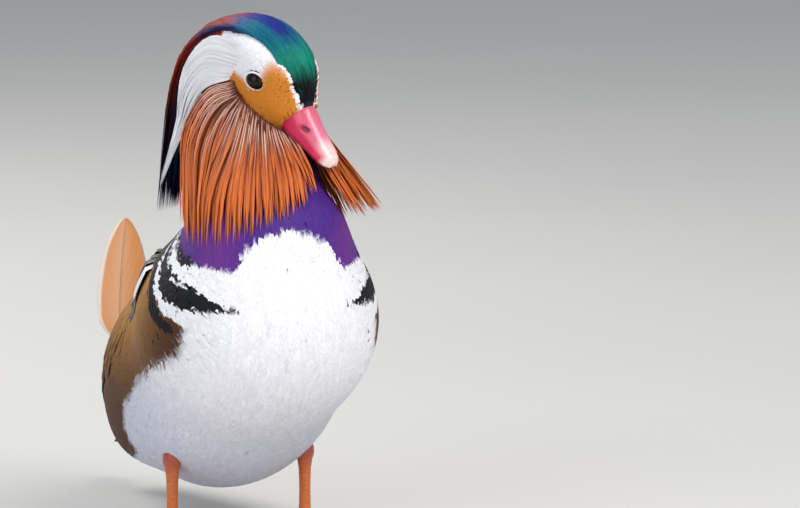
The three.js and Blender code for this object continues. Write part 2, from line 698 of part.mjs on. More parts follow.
// Sail: the broad inner feather of the wing that stands upright over the back
const SAIL = {
  half: 26,
  root: [62, 0.27],
  line: [
    [42, 63, 100],
    [42, 63, 124],
    [39, 60, 155],
  ],
  turn: -0.15,
};
function sailOf(side, grown = 0) {
  const line = [
    onBody(side * SAIL.root[0], SAIL.root[1], -6),
    ...SAIL.line.map(([x, y, z]) => V(side * x, y, z)),
  ];
  return swept({
    line,
    out: [V(side, SAIL.turn, 0), V(side, SAIL.turn, 0.15)],
    wide: (t) => SAIL.half * (0.3 + 0.7 * smooth(t / 0.4)) * (1 - (Math.max(t - 0.5, 0) / 0.5) ** 2) ** 0.6,
    rise: thinning(1.6, 0.5),
    drop: thinning(1.2, 0.4),
    edge: 0.35,
    steps: 9,
    grown,
  });
}
for (const [name, side] of SIDES) {
  const shoulder = stretchOf(side, SHOULDER);
  const wing = stretchOf(side, WING);
  node(
    `scapulars_${name}`,
    joined([padOn(shoulder), ...feathersOn(shoulder, shoulderTiers)]).subtract(kept),
    "#3b3a34",
  );
  const plumes = [padOn(wing), ...feathersOn(wing, wingTiers), ...primariesOf(side)];
  node(`wing_${name}`, joined(plumes).subtract(kept).subtract(sailOf(side, GAP)), "#4a4a3c");
  node(`sail_${name}`, sailOf(side).subtract(kept), "#e8964a");
}

// Tail: feathers that lie over one another from the middle outwards, with coverts above and below their roots
const TAIL = { pairs: 4, half: 6, root: [0, 112, 43], tip: [0, 170, 26], spread: 3.8, step: 1.3 };
const TAIL_ROOT = { at: [0, 124, 38], size: [16, 14, 7.5], rise: 18 };
const tailFeather = (i) => {
  const off = Math.abs(i);
  const [, rootY, rootZ] = TAIL.root;
  const [, tipY, tipZ] = TAIL.tip;
  return swept({
    line: [
      V(i * 1.6, rootY, rootZ - off * 0.9),
      V(i * 2, lerp(rootY, tipY, 0.4), lerp(rootZ, tipZ, 0.38) - off * TAIL.step * 0.9),
      V(i * TAIL.spread, tipY - off * 2.8, tipZ - off * TAIL.step),
    ],
    out: [V(0, 0, 1), V(0, 0, 1)],
    wide: rounded(TAIL.half),
    rise: thinning(0.7, 0.35),
    drop: thinning(0.35, 0.3),
    edge: EDGE,
    steps: 3,
  });
};
const tailFeathers = [];
for (let i = -TAIL.pairs; i <= TAIL.pairs; i++) tailFeathers.push(tailFeather(i));
const tailRoot = lumpSolid(lump(V(...TAIL_ROOT.at), TAIL_ROOT.size, axesOf(0, TAIL_ROOT.rise, 0)), 14, 8);
node("tail", joined([tailRoot, ...tailFeathers]).subtract(kept), "#3a352c");

function tailCoverts(under) {
  const middle = under ? 180 : 0;
  const [first, last, level] = under ? [0.05, -0.4, 23.5] : [0.14, -0.1, 41.5];
  const place = (across, down, height) =>
    onBody(middle + lerp(-34, 34, across), lerp(first, last, down), height);
  const feathers = [-1, 0, 1].map((i) => {
    const across = 0.5 + (under ? -i : i) * 0.3;
    const line = [
      place(across, 0.12, ROOT_HEIGHT),
      place(across, 0.85, 2.6 - Math.abs(i) * 0.3),
      V(i * 4.5, 147 - Math.abs(i) * 4, level + (under ? Math.abs(i) : -Math.abs(i))),
    ];
    return swept({
      line,
      out: [outwardAt(line[1]), V(0, 0.3, under ? -1 : 1).normalize()],
      wide: rounded(5.4),
      rise: thinning(RACHIS, 0.35),
      drop: thinning(0.5, 0.3),
      edge: EDGE,
      steps: 4,
    });
  });
  return joined([padOn(place), ...feathers]).subtract(kept);
}
node("tail_coverts", tailCoverts(false), "#2f3a34");
node("undertail", tailCoverts(true), "#eceae6");

// Legs: the bare shank with its hock just under the belly, and the webbed foot
const LEG = { side: 35.4, front: 0, hock: 42, ankle: 8 };
const TOE_SIDES = 6;
const FOOT_TOES = [
  { name: "inner", turn: 27, long: 34, radius: 2.5, web: 0.86 },
  { name: "middle", turn: -1, long: 42, radius: 2.8, web: 0.9 },
  { name: "outer", turn: -27, long: 38, radius: 2.5, web: 0.86 },
];
const SHANK = [
  [56, 5, 6],
  [48, 3.6, 4],
  [45.2, 3.4, 3.8],
  [42.6, 4.3, 4.7],
  [40, 4.4, 4.8],
  [37, 3.4, 3.7],
  [32, 2.7, 3.2],
  [22, 2.5, 3],
  [13, 2.7, 3.1],
  [LEG.ankle + GAP / 2, 3.5, 4],
];
const roundRing = (at, right, up, count = 8) =>
  Array.from({ length: count }, (_, i) => {
    const angle = (2 * Math.PI * i) / count;
    return at.clone().addScaledVector(right, Math.cos(angle)).addScaledVector(up, Math.sin(angle));
  });
function shankOf(side) {
  return solidOf(
    SHANK.map(([z, wide, deep]) => roundRing(V(side * LEG.side, LEG.front, z), V(wide, 0, 0), V(0, deep, 0))),
  );
}

// A toe from the foot's middle: flattened rings with joints along it, its sole trimmed at the floor
const CLAW = { long: 5.4, radius: 1.25, above: 0.45 };
function toeOf(side, { turn, long, radius }) {
  const way = V(side * Math.sin(rad(-turn)), -Math.cos(rad(-turn)), 0);
  const across = V(-way.y, way.x, 0);
  const start = V(side * LEG.side, LEG.front - 1, 0);
  const swell = [1.1, 0.94, 1.04, 0.82];
  const rings = swell.map((grow, i) => {
    const t = i / (swell.length - 1);
    const r = radius * grow * lerp(1.05, 0.72, t);
    const at = start.clone().addScaledVector(way, long * t);
    at.z = r * 0.78;
    return roundRing(at, across.clone().multiplyScalar(r * 1.05), V(0, 0, r), TOE_SIDES);
  });
  return { solid: solidOf(rings), end: start.clone().addScaledVector(way, long), way, across };
}
const hindWay = V(0, 1, 0);
function footOf(side) {
  const toes = FOOT_TOES.map((toe) => toeOf(side, toe));
  const palm = lumpSolid(lump(V(side * LEG.side, LEG.front - 1, 3.4), [6, 4.8, 5.2], axesOf(0, 0, 0)), 8, 6);
  const ankle = solidOf(
    [
      [LEG.ankle - GAP / 2, 3.4, 3.9],
      [6, 3.7, 4.3],
      [2, 3.5, 4.4],
    ].map(([z, wide, deep]) => roundRing(V(side * LEG.side, LEG.front, z), V(wide, 0, 0), V(0, deep, 0))),
  );
  const hind = solidOf(
    [
      [2, 7.2, 1.9],
      [6, 6.4, 1.9],
      [9, 4.6, 1.7],
      [12, 3, 1.5],
    ].map(([back, z, r]) => {
      const at = V(side * LEG.side, LEG.front + back, z);
      return roundRing(at, V(r, 0, 0), V(0, r * 0.5, r), TOE_SIDES);
    }),
  );
  const heel = V(side * LEG.side, LEG.front - 2, 0);
  const webs = [0, 1].map((i) => {
    const [one, two] = [i, i + 1].map((k) => {
      const { web, long } = FOOT_TOES[k];
      return heel.clone().addScaledVector(toes[k].way, long * web);
    });
    const dip = one.clone().add(two).multiplyScalar(0.5).lerp(heel, 0.16);
    const outline = new THREE.Shape();
    outline.moveTo(heel.x, heel.y);
    outline.lineTo(one.x, one.y);
    outline.quadraticCurveTo(dip.x, dip.y, two.x, two.y);
    outline.closePath();
    const sheet = new THREE.ExtrudeGeometry(outline, { depth: 1.1, bevelEnabled: false, curveSegments: 3 });
    sheet.deleteAttribute("normal").deleteAttribute("uv").translate(0, 0, 0.5);
    return manifoldOf(mergeVertices(sheet, 1e-3));
  });
  const foot = joined([palm, ankle, hind, ...webs, ...toes.map(({ solid }) => solid)]);
  return { foot: foot.trimByPlane([0, 0, 1], 0).trimByPlane([0, 0, -1], GAP / 2 - LEG.ankle), toes };
}
const clawOf = (from, way, across, drop) => {
  const parts = [0, 0.45, 1].map((t) => {
    const r = CLAW.radius * (1 - t * 0.85);
    const at = from.clone().addScaledVector(way, GAP + CLAW.long * t);
    at.z = Math.max(from.z - drop * t * t, CLAW.above + r);
    return roundRing(at, across.clone().multiplyScalar(r), V(0, 0, r), 6);
  });
  return solidOf(parts);
};
for (const [name, side] of SIDES) {
  node(`shank_${name}`, shankOf(side).subtract(kept), "#e07a28", 0.5);
  const { foot, toes } = footOf(side);
  node(`foot_${name}`, foot, "#e28a2e", 0.5);
  FOOT_TOES.forEach((toe, i) => {
    const from = toes[i].end.clone();
    from.z = CLAW.radius + 0.7;
    node(`claw_${name}_${toe.name}`, clawOf(from, toes[i].way, toes[i].across, 1.2), "#4a3a30", 0.4);
  });
  const hindEnd = V(side * LEG.side, LEG.front + 12.8, 3);
  node(`claw_${name}_hind`, clawOf(hindEnd, hindWay, V(1, 0, 0), 1.4), "#4a3a30", 0.4);
}

// Every node's largest closed surface becomes a named mesh
const drake = new THREE.Group();
for (const { name, solid, color, roughness } of nodes) {
  const pieces = solid.decompose().sort((a, b) => b.volume() - a.volume());
  if (!pieces.length) throw new Error(`${name} is empty`);
  const largest = pieces[0];
  const { vertProperties, triVerts } = largest.getMesh();
  const geometry = new THREE.BufferGeometry()
    .setAttribute("position", new THREE.BufferAttribute(vertProperties, 3))
    .setIndex(new THREE.BufferAttribute(triVerts, 1));
  const mesh = new THREE.Mesh(geometry, new THREE.MeshStandardMaterial({ color, roughness, metalness: 0 }));
  mesh.name = name;
  drake.add(mesh);
}

// The origin is the middle of the footprint, on the floor
const box = new THREE.Box3().setFromObject(drake);
for (const mesh of drake.children)
  mesh.geometry.translate(-(box.min.x + box.max.x) / 2, -(box.min.y + box.max.y) / 2, -box.min.z);

export default drake;
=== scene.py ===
"""The looks of a standing mandarin drake, life size: skin, plumage, head ornaments, bill, eyes, legs and
stage."""

import math

import bpy
import numpy as np
from bpy.props import FloatProperty, FloatVectorProperty, IntProperty, PointerProperty
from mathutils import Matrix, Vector


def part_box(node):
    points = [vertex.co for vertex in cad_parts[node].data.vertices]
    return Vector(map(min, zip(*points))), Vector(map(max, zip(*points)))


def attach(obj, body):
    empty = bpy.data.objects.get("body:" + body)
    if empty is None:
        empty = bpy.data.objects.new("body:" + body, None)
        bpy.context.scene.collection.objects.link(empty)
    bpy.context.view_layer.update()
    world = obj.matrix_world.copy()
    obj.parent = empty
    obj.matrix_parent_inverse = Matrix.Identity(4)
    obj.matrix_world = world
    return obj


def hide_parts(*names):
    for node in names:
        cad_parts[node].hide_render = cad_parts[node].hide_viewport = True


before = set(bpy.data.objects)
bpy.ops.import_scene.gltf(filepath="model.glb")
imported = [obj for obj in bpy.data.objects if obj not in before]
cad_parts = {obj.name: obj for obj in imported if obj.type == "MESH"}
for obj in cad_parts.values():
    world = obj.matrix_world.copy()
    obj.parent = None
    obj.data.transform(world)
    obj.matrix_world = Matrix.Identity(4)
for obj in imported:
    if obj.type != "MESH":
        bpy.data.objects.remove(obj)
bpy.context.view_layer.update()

bl_info = {
    "name": "Mandarin drake",
    "version": (1, 0, 0),
    "blender": (4, 5, 0),
    "location": "View3D > Sidebar > Drake",
    "description": "Builds the skin, plumage, bill, eyes and legs of a standing mandarin drake",
    "category": "Object",
}

# The bird's form, worked out in millimetres and degrees
TAIL_TILT, RUMP_TILT, BACK_TILT, BODY_TILT = 22, 30, 36, 42
CHEST_TILT, NECK_TILT, NAPE_TILT = 60, 75, 90
HEAD_TURN, HEAD_BOW, HEAD_ROLL = 27, 32, 6
EYE_LEVEL = np.array([9.0, -25.0, 233.5])
BLEND = 9.0
SIDES = (("left", 1), ("right", -1))
QUARTER = math.pi / 2
SHORTEST = 1e-6


def off_middle(around):
    """Angles of -180 to 360 degrees as the angle from the back's middle line, the same to the left and
    right."""
    return np.abs((around + 180) % 360 - 180)


def rise_of(t):
    """A quarter of a sine wave: steep at 0 and level from 1 on."""
    return np.sin(np.minimum(t, 1) * math.pi / 2)


def unit(v):
    """Vectors made one long."""
    return v / np.maximum(np.linalg.norm(v, axis=-1, keepdims=True), 1e-9)


def lerp(a, b, t):
    """A mix of a and b, a where t is 0 and b where it is 1."""
    return a + (b - a) * t


def smooth(low, high, x):
    """0 at low, 1 at high, an S-shaped rise between them and level beyond, and a fall where low is the
    greater."""
    t = np.clip((x - low) / (high - low), 0, 1)
    return t * t * (3 - 2 * t)


def axes_of(turn, rise, roll=0):
    """The forward, left and up directions of a part of the body that is turned, raised and rolled."""
    turn, rise, roll = np.radians([turn, rise, roll])
    level = np.array([math.cos(turn), math.sin(turn), 0])
    forward = np.array([math.sin(turn) * math.cos(rise), -math.cos(turn) * math.cos(rise), math.sin(rise)])
    left = level * math.cos(roll) + np.cross(forward, level) * math.sin(roll)
    return np.stack([forward, left, np.cross(forward, left)])


HEAD = axes_of(HEAD_TURN, -HEAD_BOW, HEAD_ROLL)
BODY = axes_of(0, BODY_TILT)


def head_point(ahead, left, up):
    """Points in the head's directions, turned into the bird's own."""
    places = np.stack(np.broadcast_arrays(ahead, left, up), -1).astype(float)
    return EYE_LEVEL + places @ HEAD


def in_head(p):
    """How far points lie ahead of the eyes, to the left and up, in the head's directions."""
    return np.moveaxis((p - EYE_LEVEL) @ HEAD.T, -1, 0)


# Each lump has a middle, half sizes and directions
BODY_LUMPS = (
    ((0, -27, 112), (60, 60, 56), BODY),
    ((0, 6, 84), (74, 55, 52), BODY),
    ((29, 25, 80), (60, 27, 37), BODY),
    ((-29, 25, 80), (60, 27, 37), BODY),
    ((0, 42, 72), (60, 47, 38), axes_of(0, BACK_TILT)),
    ((0, 66, 61), (56, 35, 27), axes_of(0, RUMP_TILT)),
    ((0, 96, 46), (30, 20, 14), axes_of(0, TAIL_TILT)),
    ((0, -40, 150), (38, 42, 34), axes_of(0, CHEST_TILT)),
    ((1, -23, 178), (30, 31, 34), axes_of(0, NECK_TILT)),
    ((3, -12, 204), (26, 23, 25), axes_of(0, NAPE_TILT)),
)
HEAD_LUMPS = tuple(
    (head_point(*at), size, HEAD)
    for at, size in (
        ((-9, 0, 3), (27, 14, 17)),
        ((8, 0, 2), (19, 12.6, 14)),
        ((1, 7.5, 10.5), (17, 7.5, 9.5)),
        ((1, -7.5, 10.5), (17, 7.5, 9.5)),
        ((4, 6, -6), (16, 8.5, 11)),
        ((4, -6, -6), (16, 8.5, 11)),
        ((19, 0, -4.5), (11, 9, 9)),
        ((-22, 0, -9), (21, 15, 18)),
        ((-22, 0, -22), (16, 14, 14)),
    )
)


def lump_distance(p, at, size, axes):
    """Distance to an ellipsoid, close to true near its surface and negative inside."""
    q = (p - np.array(at)) @ axes.T
    size = np.array(size, float)
    near = np.linalg.norm(q / size, axis=-1)
    steep = np.maximum(np.linalg.norm(q / size**2, axis=-1), 1e-7)
    return near * (near - 1) / steep


def blend_of(a, b):
    """The smaller of two distances, rounded where they are alike."""
    h = np.maximum(BLEND - np.abs(a - b), 0) / BLEND
    return np.minimum(a, b) - h * h * BLEND / 4


def field_of(lumps):
    """The distance to several lumps that run into one another."""

    def field(p):
        total = lump_distance(p, *lumps[0])
        for one in lumps[1:]:
            total = blend_of(total, lump_distance(p, *one))
        return total

    return field


body_field = field_of(BODY_LUMPS)
head_field = field_of(HEAD_LUMPS)


def whole_field(p):
    """The distance to the whole bird's surface, negative inside."""
    return blend_of(body_field(p), head_field(p))


def slope_of(field, p, step=0.05):
    """The outward direction of a field: its rise along each axis, made one long."""
    shifts = np.eye(3) * step
    return unit(np.stack([field(p + s) - field(p - s) for s in shifts], -1))


REACH_STEPS = 34
REACH_SHARE = 0.9


def reach(field, start, towards, height):
    """Walks from points inside a form along directions until the field is as high as asked."""
    far = np.zeros(towards.shape[:-1])
    for _ in range(REACH_STEPS):
        far = far - (field(start + towards * far[..., None]) - height) * REACH_SHARE
    return start + towards * far[..., None]


def settle(p, height, steps=6):
    """Moves points square to the bird's surface until they stand at the height asked for."""
    for _ in range(steps):
        p = p - slope_of(whole_field, p) * (whole_field(p) - height)[..., None]
    return p


def at_least(p, height):
    """Points that stand lower than the height asked for, lifted to it."""
    low = whole_field(p) < height
    p = p.copy()
    if low.any():
        p[low] = settle(p[low], np.broadcast_to(height, low.shape)[low])
    return p


def line_through(points, t):
    """A smooth line through points: a cubic between each two, whose slopes come from the square roots of
    the gaps. t runs from 0 to 1 with an equal share for each gap. Points are one row per place, or one per
    place and line."""
    points = np.asarray(points, float)
    gaps = len(points) - 1
    row = np.concatenate([2 * points[:1] - points[1:2], points, 2 * points[-1:] - points[-2:-1]])
    place = np.clip(t, 0, 1) * gaps
    first = np.minimum(place.astype(int), gaps - 1)
    part = (place - first)[..., None]
    which = (np.arange(points.shape[1]),) if points.ndim == 3 else ()
    a, b, c, d = (row[(first + i, *which)] for i in range(4))
    spans = ((a, b), (b, c), (c, d))
    ab, bc, cd = (
        np.maximum(np.linalg.norm(y - x, axis=-1, keepdims=True), SHORTEST) ** 0.5 for x, y in spans
    )
    slope_b = ((b - a) / ab - (c - a) / (ab + bc) + (c - b) / bc) * bc
    slope_c = ((c - b) / bc - (d - b) / (bc + cd) + (d - c) / cd) * bc
    square = 3 * (c - b) - 2 * slope_b - slope_c
    cube = 2 * (b - c) + slope_b + slope_c
    return b + slope_b * part + square * part**2 + cube * part**3


# The spine's middle line from the tail to the top of the neck
SPINE = np.array(
    [
        (0, 112, 41),
        (0, 90, 50),
        (0, 62, 64),
        (0, 36, 80),
        (0, 4, 103),
        (0, -20, 130),
        (0, -27, 155),
        (1, -24, 178),
        (3, -17, 200),
        (5, -15, 214),
    ],
    float,
)
FINE = np.linspace(0, 1, 801)
FAR = np.concatenate([[0], np.cumsum(np.linalg.norm(np.diff(line_through(SPINE, FINE), axis=0), axis=1))])
FAR /= FAR[-1]


def spine_at(along):
    """The place on the spine a share of its length from the tail, and its direction there."""
    t = np.interp(along, FAR, FINE)
    step = 0.002
    ahead = line_through(SPINE, np.clip(t + step, 0, 1)) - line_through(SPINE, np.clip(t - step, 0, 1))
    return line_through(SPINE, t), unit(ahead)


def on_body(around, along, height):
    """A point over the body. Around is the angle from the back's middle line, positive to the left, along the
    share of the spine, which goes over the rounded ends below 0 and above 1."""
    around, along, height = np.broadcast_arrays(np.radians(around), np.asarray(along, float), height)
    at = np.clip(along, 0, 1)
    middle, ahead = spine_at(at)
    side = np.array([1.0, 0, 0])
    left = unit(side - ahead * ahead[..., :1])
    up = np.cross(ahead, left)
    out = up * np.cos(around)[..., None] + left * np.sin(around)[..., None]
    over = (QUARTER * (along - at))[..., None]
    return reach(body_field, middle, out * np.cos(over) + ahead * np.sin(over), height)


HEAD_CENTRE = head_point(-5, 0, 0)


def on_head(around, over, height):
    """A point over the head. Around is the angle from the crown, positive to the left, and over runs from 0
    at the back of the head to 180 at the face."""
    around, over, height = np.broadcast_arrays(np.radians(around), np.radians(over), height)
    towards = HEAD[2] * np.cos(around)[..., None] + HEAD[1] * np.sin(around)[..., None]
    towards = towards * np.sin(over)[..., None] - HEAD[0] * np.cos(over)[..., None]
    return reach(head_field, HEAD_CENTRE, towards, height)


# From the bird's own millimetres to the frame's metres: the shanks stand at its left and right of the origin
def shank_middle():
    """The middle of both shanks in the frame, in millimetres."""
    boxes = [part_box(f"shank_{name}") for name, _ in SIDES]
    corners = np.array([corner for box in boxes for corner in box])
    middle = (corners.min(0) + corners.max(0)) / 2 * 1000
    return np.array([middle[0], middle[1], 0])


SHIFT = shank_middle()


def to_frame(p):
    """Points in the bird's millimetres as metres in the frame."""
    return (p + SHIFT) / 1000


# Colours
def linear(code):
    """A screen colour such as #ff8800 as three linear shares."""
    shares = np.array([int(code[i : i + 2], 16) for i in (1, 3, 5)]) / 255
    return tuple(np.where(shares <= 0.04045, shares / 12.92, ((shares + 0.055) / 1.055) ** 2.4))


def colour(name, description, code):
    """A colour that the user can change."""
    return FloatVectorProperty(
        name=name, description=description, subtype="COLOR", size=3, min=0, max=1, default=linear(code)
    )


def blend(first, second, share):
    """Two colours mixed by a share for each point."""
    return lerp(np.asarray(first), np.asarray(second), np.asarray(share)[..., None])


class DrakeColours(bpy.types.PropertyGroup):
    """Colours of the plumage and of the bare parts."""

    white: colour("White", "Breast and belly", "#e9e8ee")
    # Painted shade: the grey in which the white lower belly is painted as if in shade
    belly: colour("Belly", "Shaded grey of the lower belly", "#c3c8d6")
    purple: colour("Purple", "Chest", "#412080")
    magenta: colour("Magenta", "Gloss on the chest's sides", "#7a3184")
    black: colour("Black", "Bars beside the breast", "#06070e")
    # Painted light and shade: the upper flank colour is the flank's plumage in light, the lower flank colour
    # the same plumage in shade
    flank: colour("Flank", "Upper flank", "#a87840")
    flank_painted_shade: colour("Dark flank", "Lower flank", "#4a2a14")
    back: colour("Back", "Back and wing coverts", "#3a3124")
    gloss: colour("Gloss", "Green gloss on wings and rump", "#1f4a44")
    rust: colour("Rust", "Roots of the ruff", "#94340f")
    amber: colour("Amber", "Tips of the ruff", "#d46a2a")
    shaft: colour("Shaft", "Pale shafts of the ruff", "#f0cdb8")
    ochre: colour("Ochre", "Cheek", "#d08026")
    face: colour("Face", "White of the face and the brow plumes", "#ecebf0")
    teal: colour("Teal", "Crown", "#0d6078")
    emerald: colour("Emerald", "Fore crown", "#0a7a66")
    night: colour("Night", "Darkest crest and bill root", "#080a12")
    indigo: colour("Indigo", "Top of the crown", "#1d2a7c")
    copper: colour("Copper", "Middle of the crest", "#8c240c")
    maroon: colour("Maroon", "Rear of the crest", "#3a1024")
    sail: colour("Sail", "Sail feathers", "#ea974f")
    cream: colour("Cream", "Rear edge of the sail feathers", "#f6e9d6")
    bill: colour("Bill", "Bill", "#cf1f52")
    # The ridge colour is partly the bill's own paler top and partly a painted highlight
    ridge: colour("Bill ridge", "Paler ridge of the bill", "#e8849c")
    nail: colour("Nail", "Nail of the bill", "#f0d2cc")
    iris: colour("Eye", "Dark brown of the eye", "#120a06")
    leg: colour("Leg", "Shanks and toes", "#cc6a2c")
    hock: colour("Hock", "Redder hocks", "#a8483a")
    web: colour("Web", "Webs between the toes", "#6a4a2c")
    claw: colour("Claw", "Claws", "#2e241e")


class DrakeSizes(bpy.types.PropertyGroup):
    """Sizes of the plumage."""

    coat_gap: FloatProperty(
        name="Coat gap",
        description="Distance in millimetres between body feathers",
        default=1.55,
        min=1.2,
        max=6,
    )
    face_gap: FloatProperty(
        name="Face gap",
        description="Distance in millimetres between face feathers",
        default=0.95,
        min=0.8,
        max=3,
    )
    hackles: IntProperty(
        name="Hackles", description="Plumes on each side of the ruff", default=430, min=50, max=900
    )
    crest_plumes: IntProperty(
        name="Crest plumes", description="Plumes of the crest", default=420, min=50, max=900
    )
    brow_plumes: IntProperty(
        name="Brow plumes", description="White plumes on each side", default=190, min=20, max=400
    )
    seed: IntProperty(name="Seed", description="Start of the random draws", default=7)


# Meshes
def put_mesh(name, points, faces, finish, tint=None, maps=None, normals=None):
    """A mesh object from points in millimetres and one or more arrays of faces, with a colour and a normal
    for each point and flat maps by name."""
    faces = faces if isinstance(faces, list) else [faces]
    sizes = np.concatenate([np.full(len(f), f.shape[1]) for f in faces])
    corners = np.concatenate([f.ravel() for f in faces]).astype(np.int32)
    mesh = bpy.data.meshes.new(name)
    mesh.vertices.add(len(points))
    mesh.vertices.foreach_set("co", to_frame(points).astype(np.float32).ravel())
    mesh.loops.add(len(corners))
    mesh.loops.foreach_set("vertex_index", corners)
    mesh.polygons.add(len(sizes))
    mesh.polygons.foreach_set("loop_start", (np.cumsum(sizes) - sizes).astype(np.int32))
    mesh.polygons.foreach_set("use_smooth", np.ones(len(sizes), bool))
    mesh.update(calc_edges=True)
    for layer, flat in (maps or {}).items():
        mesh.uv_layers.new(name=layer).data.foreach_set("uv", flat[corners].astype(np.float32).ravel())
    if tint is not None:
        put_tint(mesh, tint)
    if normals is not None:
        mesh.normals_split_custom_set_from_vertices(normals)
    mesh.materials.append(finish)
    made = bpy.data.objects.new(name, mesh)
    bpy.context.scene.collection.objects.link(made)
    return made


def put_tint(mesh, tint):
    """Gives each point of a mesh its own colour."""
    rgba = np.ones((len(mesh.vertices), 4), np.float32)
    rgba[:, :3] = tint
    mesh.color_attributes.new("tint", "FLOAT_COLOR", "POINT").data.foreach_set("color", rgba.ravel())


def outward(points, faces):
    """Faces turned so that the closed surface's volume is above 0."""
    total = 0.0
    for f in faces if isinstance(faces, list) else [faces]:
        for i in range(1, f.shape[1] - 1):
            a, b, c = (points[f[:, k]] for k in (0, i, i + 1))
            total += (a * np.cross(b, c)).sum()
    if total >= 0:
        return faces
    return [f[:, ::-1] for f in faces] if isinstance(faces, list) else faces[:, ::-1]


def ring_faces(rings, count):
    """Faces of a closed form of rings of points in order, with a first and a last point as its poles."""
    i = np.arange(count)
    after = (i + 1) % count
    first = np.stack([np.zeros(count, int), 1 + after, 1 + i], 1)
    quads = []
    for r in range(rings - 1):
        a, b = 1 + r * count + i, 1 + r * count + after
        quads.append(np.stack([a, b, b + count, a + count], 1))
    start = 1 + (rings - 1) * count
    last = np.stack([start + i, start + after, np.full(count, 1 + rings * count)], 1)
    return np.concatenate([first, last]), np.concatenate(quads)


def loft(name, rings, finish, tint=None, poles=None, maps=None):
    """A closed form through rings of points, an array of rings by points by three, closed by a pole at each
    end."""
    count = rings.shape[1]
    poles = (rings[0].mean(0), rings[-1].mean(0)) if poles is None else poles
    points = np.concatenate([poles[0][None], rings.reshape(-1, 3), poles[1][None]])
    faces = outward(points, list(ring_faces(len(rings), count)))
    if tint is not None:
        flat = tint.reshape(-1, 3)
        tint = np.concatenate([flat[:1], flat, flat[-1:]])
    closed = {}
    for layer, flat in (maps or {}).items():
        flat = flat.reshape(-1, 2)
        closed[layer] = np.concatenate([flat[:1], flat, flat[-1:]])
    return put_mesh(name, points, faces, finish, tint, closed)


# Sections of feathers, across and up: a plain one, one with a shaft, and a broad vane
SPINDLE = np.array([(-1, 0), (0, 1), (1, 0), (0, -1)], float)
SHAFTED = np.array([(-1, 0), (-0.4, 0.8), (0, 1.3), (0.4, 0.8), (1, 0), (0, -1)], float)
VANE = np.array(
    [
        (-1, 0),
        (-0.7, 0.55),
        (-0.36, 0.8),
        (-0.07, 1),
        (0, 1.5),
        (0.07, 1),
        (0.36, 0.8),
        (0.7, 0.55),
        (1, 0),
        (0.4, -1),
        (-0.4, -1),
    ],
    float,
)
PATCH = 0.003
PATCH_MARGIN = 0.02
SHIFTS = 40


def on_patch(places, size=0.94):
    """Places of 0 to 1 both ways, moved inside the margin of the unwrapped skin."""
    return PATCH_MARGIN + size * places


def with_ends(first, middle, last):
    """The points of each feather in order: its root, the points of its sections and its tip."""
    return np.concatenate([first, middle, last]).transpose(1, 0, 2).reshape(-1, 3)


def grow(name, line, out, wide, rise, finish, tint, roots, draw, section=SPINDLE, camber=0.0, lean=0.3):
    """Feathers in one mesh. Line holds the places along each feather, out the direction away from the body
    there, wide its half width and rise half its thickness. Each place gets the section's points, except the
    root and the tip, which close it. Roots are the feathers' places on the unwrapped skin. The normals lean
    out to the sides by a share, so that feathers side by side catch the light as one coat."""
    count = line.shape[1]
    rings, corners = len(line) - 2, len(section)
    ahead = unit(np.gradient(line, axis=0))
    out = unit(out - ahead * (out * ahead).sum(-1, keepdims=True))
    side = np.cross(out, ahead)
    across = section[:, 0][None, :, None, None]
    high = section[:, 1][None, :, None, None]
    wide = np.broadcast_to(wide, line.shape[:2])[1:-1, None, :, None]
    rise = np.broadcast_to(rise, line.shape[:2])[1:-1, None, :, None]
    body = line[1:-1, None] + side[1:-1, None] * wide * across
    body = body + out[1:-1, None] * (rise * high - camber * wide * across**2)
    facing = out[1:-1, None] * np.where(high < 0, -1.0, 1.0) + side[1:-1, None] * across * lean
    shape = (rings * corners, count, 3)
    points = with_ends(line[:1], body.reshape(shape), line[-1:])
    facing = with_ends(out[:1], facing.reshape(shape), out[-1:])
    each = 2 + rings * corners
    step = (np.arange(count) * each)[:, None, None]
    faces = [(f[None] + step).reshape(-1, f.shape[1]) for f in ring_faces(rings, corners)]
    faces = outward(points, faces)
    tint = np.broadcast_to(tint, (len(line), corners, count, 3))
    colours = with_ends(tint[:1, 0], tint[1:-1].reshape(shape), tint[-1:, 0])
    u = np.concatenate([[0.5], np.tile(section[:, 0] / 2 + 0.5, rings), [0.5]])
    v = np.concatenate([[0], np.repeat(np.linspace(0.1, 0.9, rings), corners), [1]])
    local = np.stack([u, v], -1)[None]
    patch = roots[:, None] + (local - 0.5) * PATCH
    apart = draw.integers(0, SHIFTS, (count, 1, 2)) * 2.0
    maps = {"OFBake": patch.reshape(-1, 2), "vane": (local + apart).reshape(-1, 2)}
    return put_mesh(name, points, faces, finish, colours, maps, unit(facing))


# Finishes
def new_group(name, inputs, outputs):
    """An empty shader group with named sockets, each with its kind and, for an input, its value."""
    group = bpy.data.node_groups.new(name, "ShaderNodeTree")
    for label, kind, value in inputs:
        socket = group.interface.new_socket(label, in_out="INPUT", socket_type=kind)
        if value is not None:
            socket.default_value = value
    for label, kind in outputs:
        group.interface.new_socket(label, in_out="OUTPUT", socket_type=kind)
    return group, group.nodes.new("NodeGroupInput"), group.nodes.new("NodeGroupOutput")


def math_node(nodes, links, kind, *values):
    """A maths node fed by sockets or numbers."""
    made = nodes.new("ShaderNodeMath")
    made.operation = kind
    for i, value in enumerate(values):
        if isinstance(value, (int, float)):
            made.inputs[i].default_value = value
        else:
            links.new(value, made.inputs[i])
    return made.outputs[0]


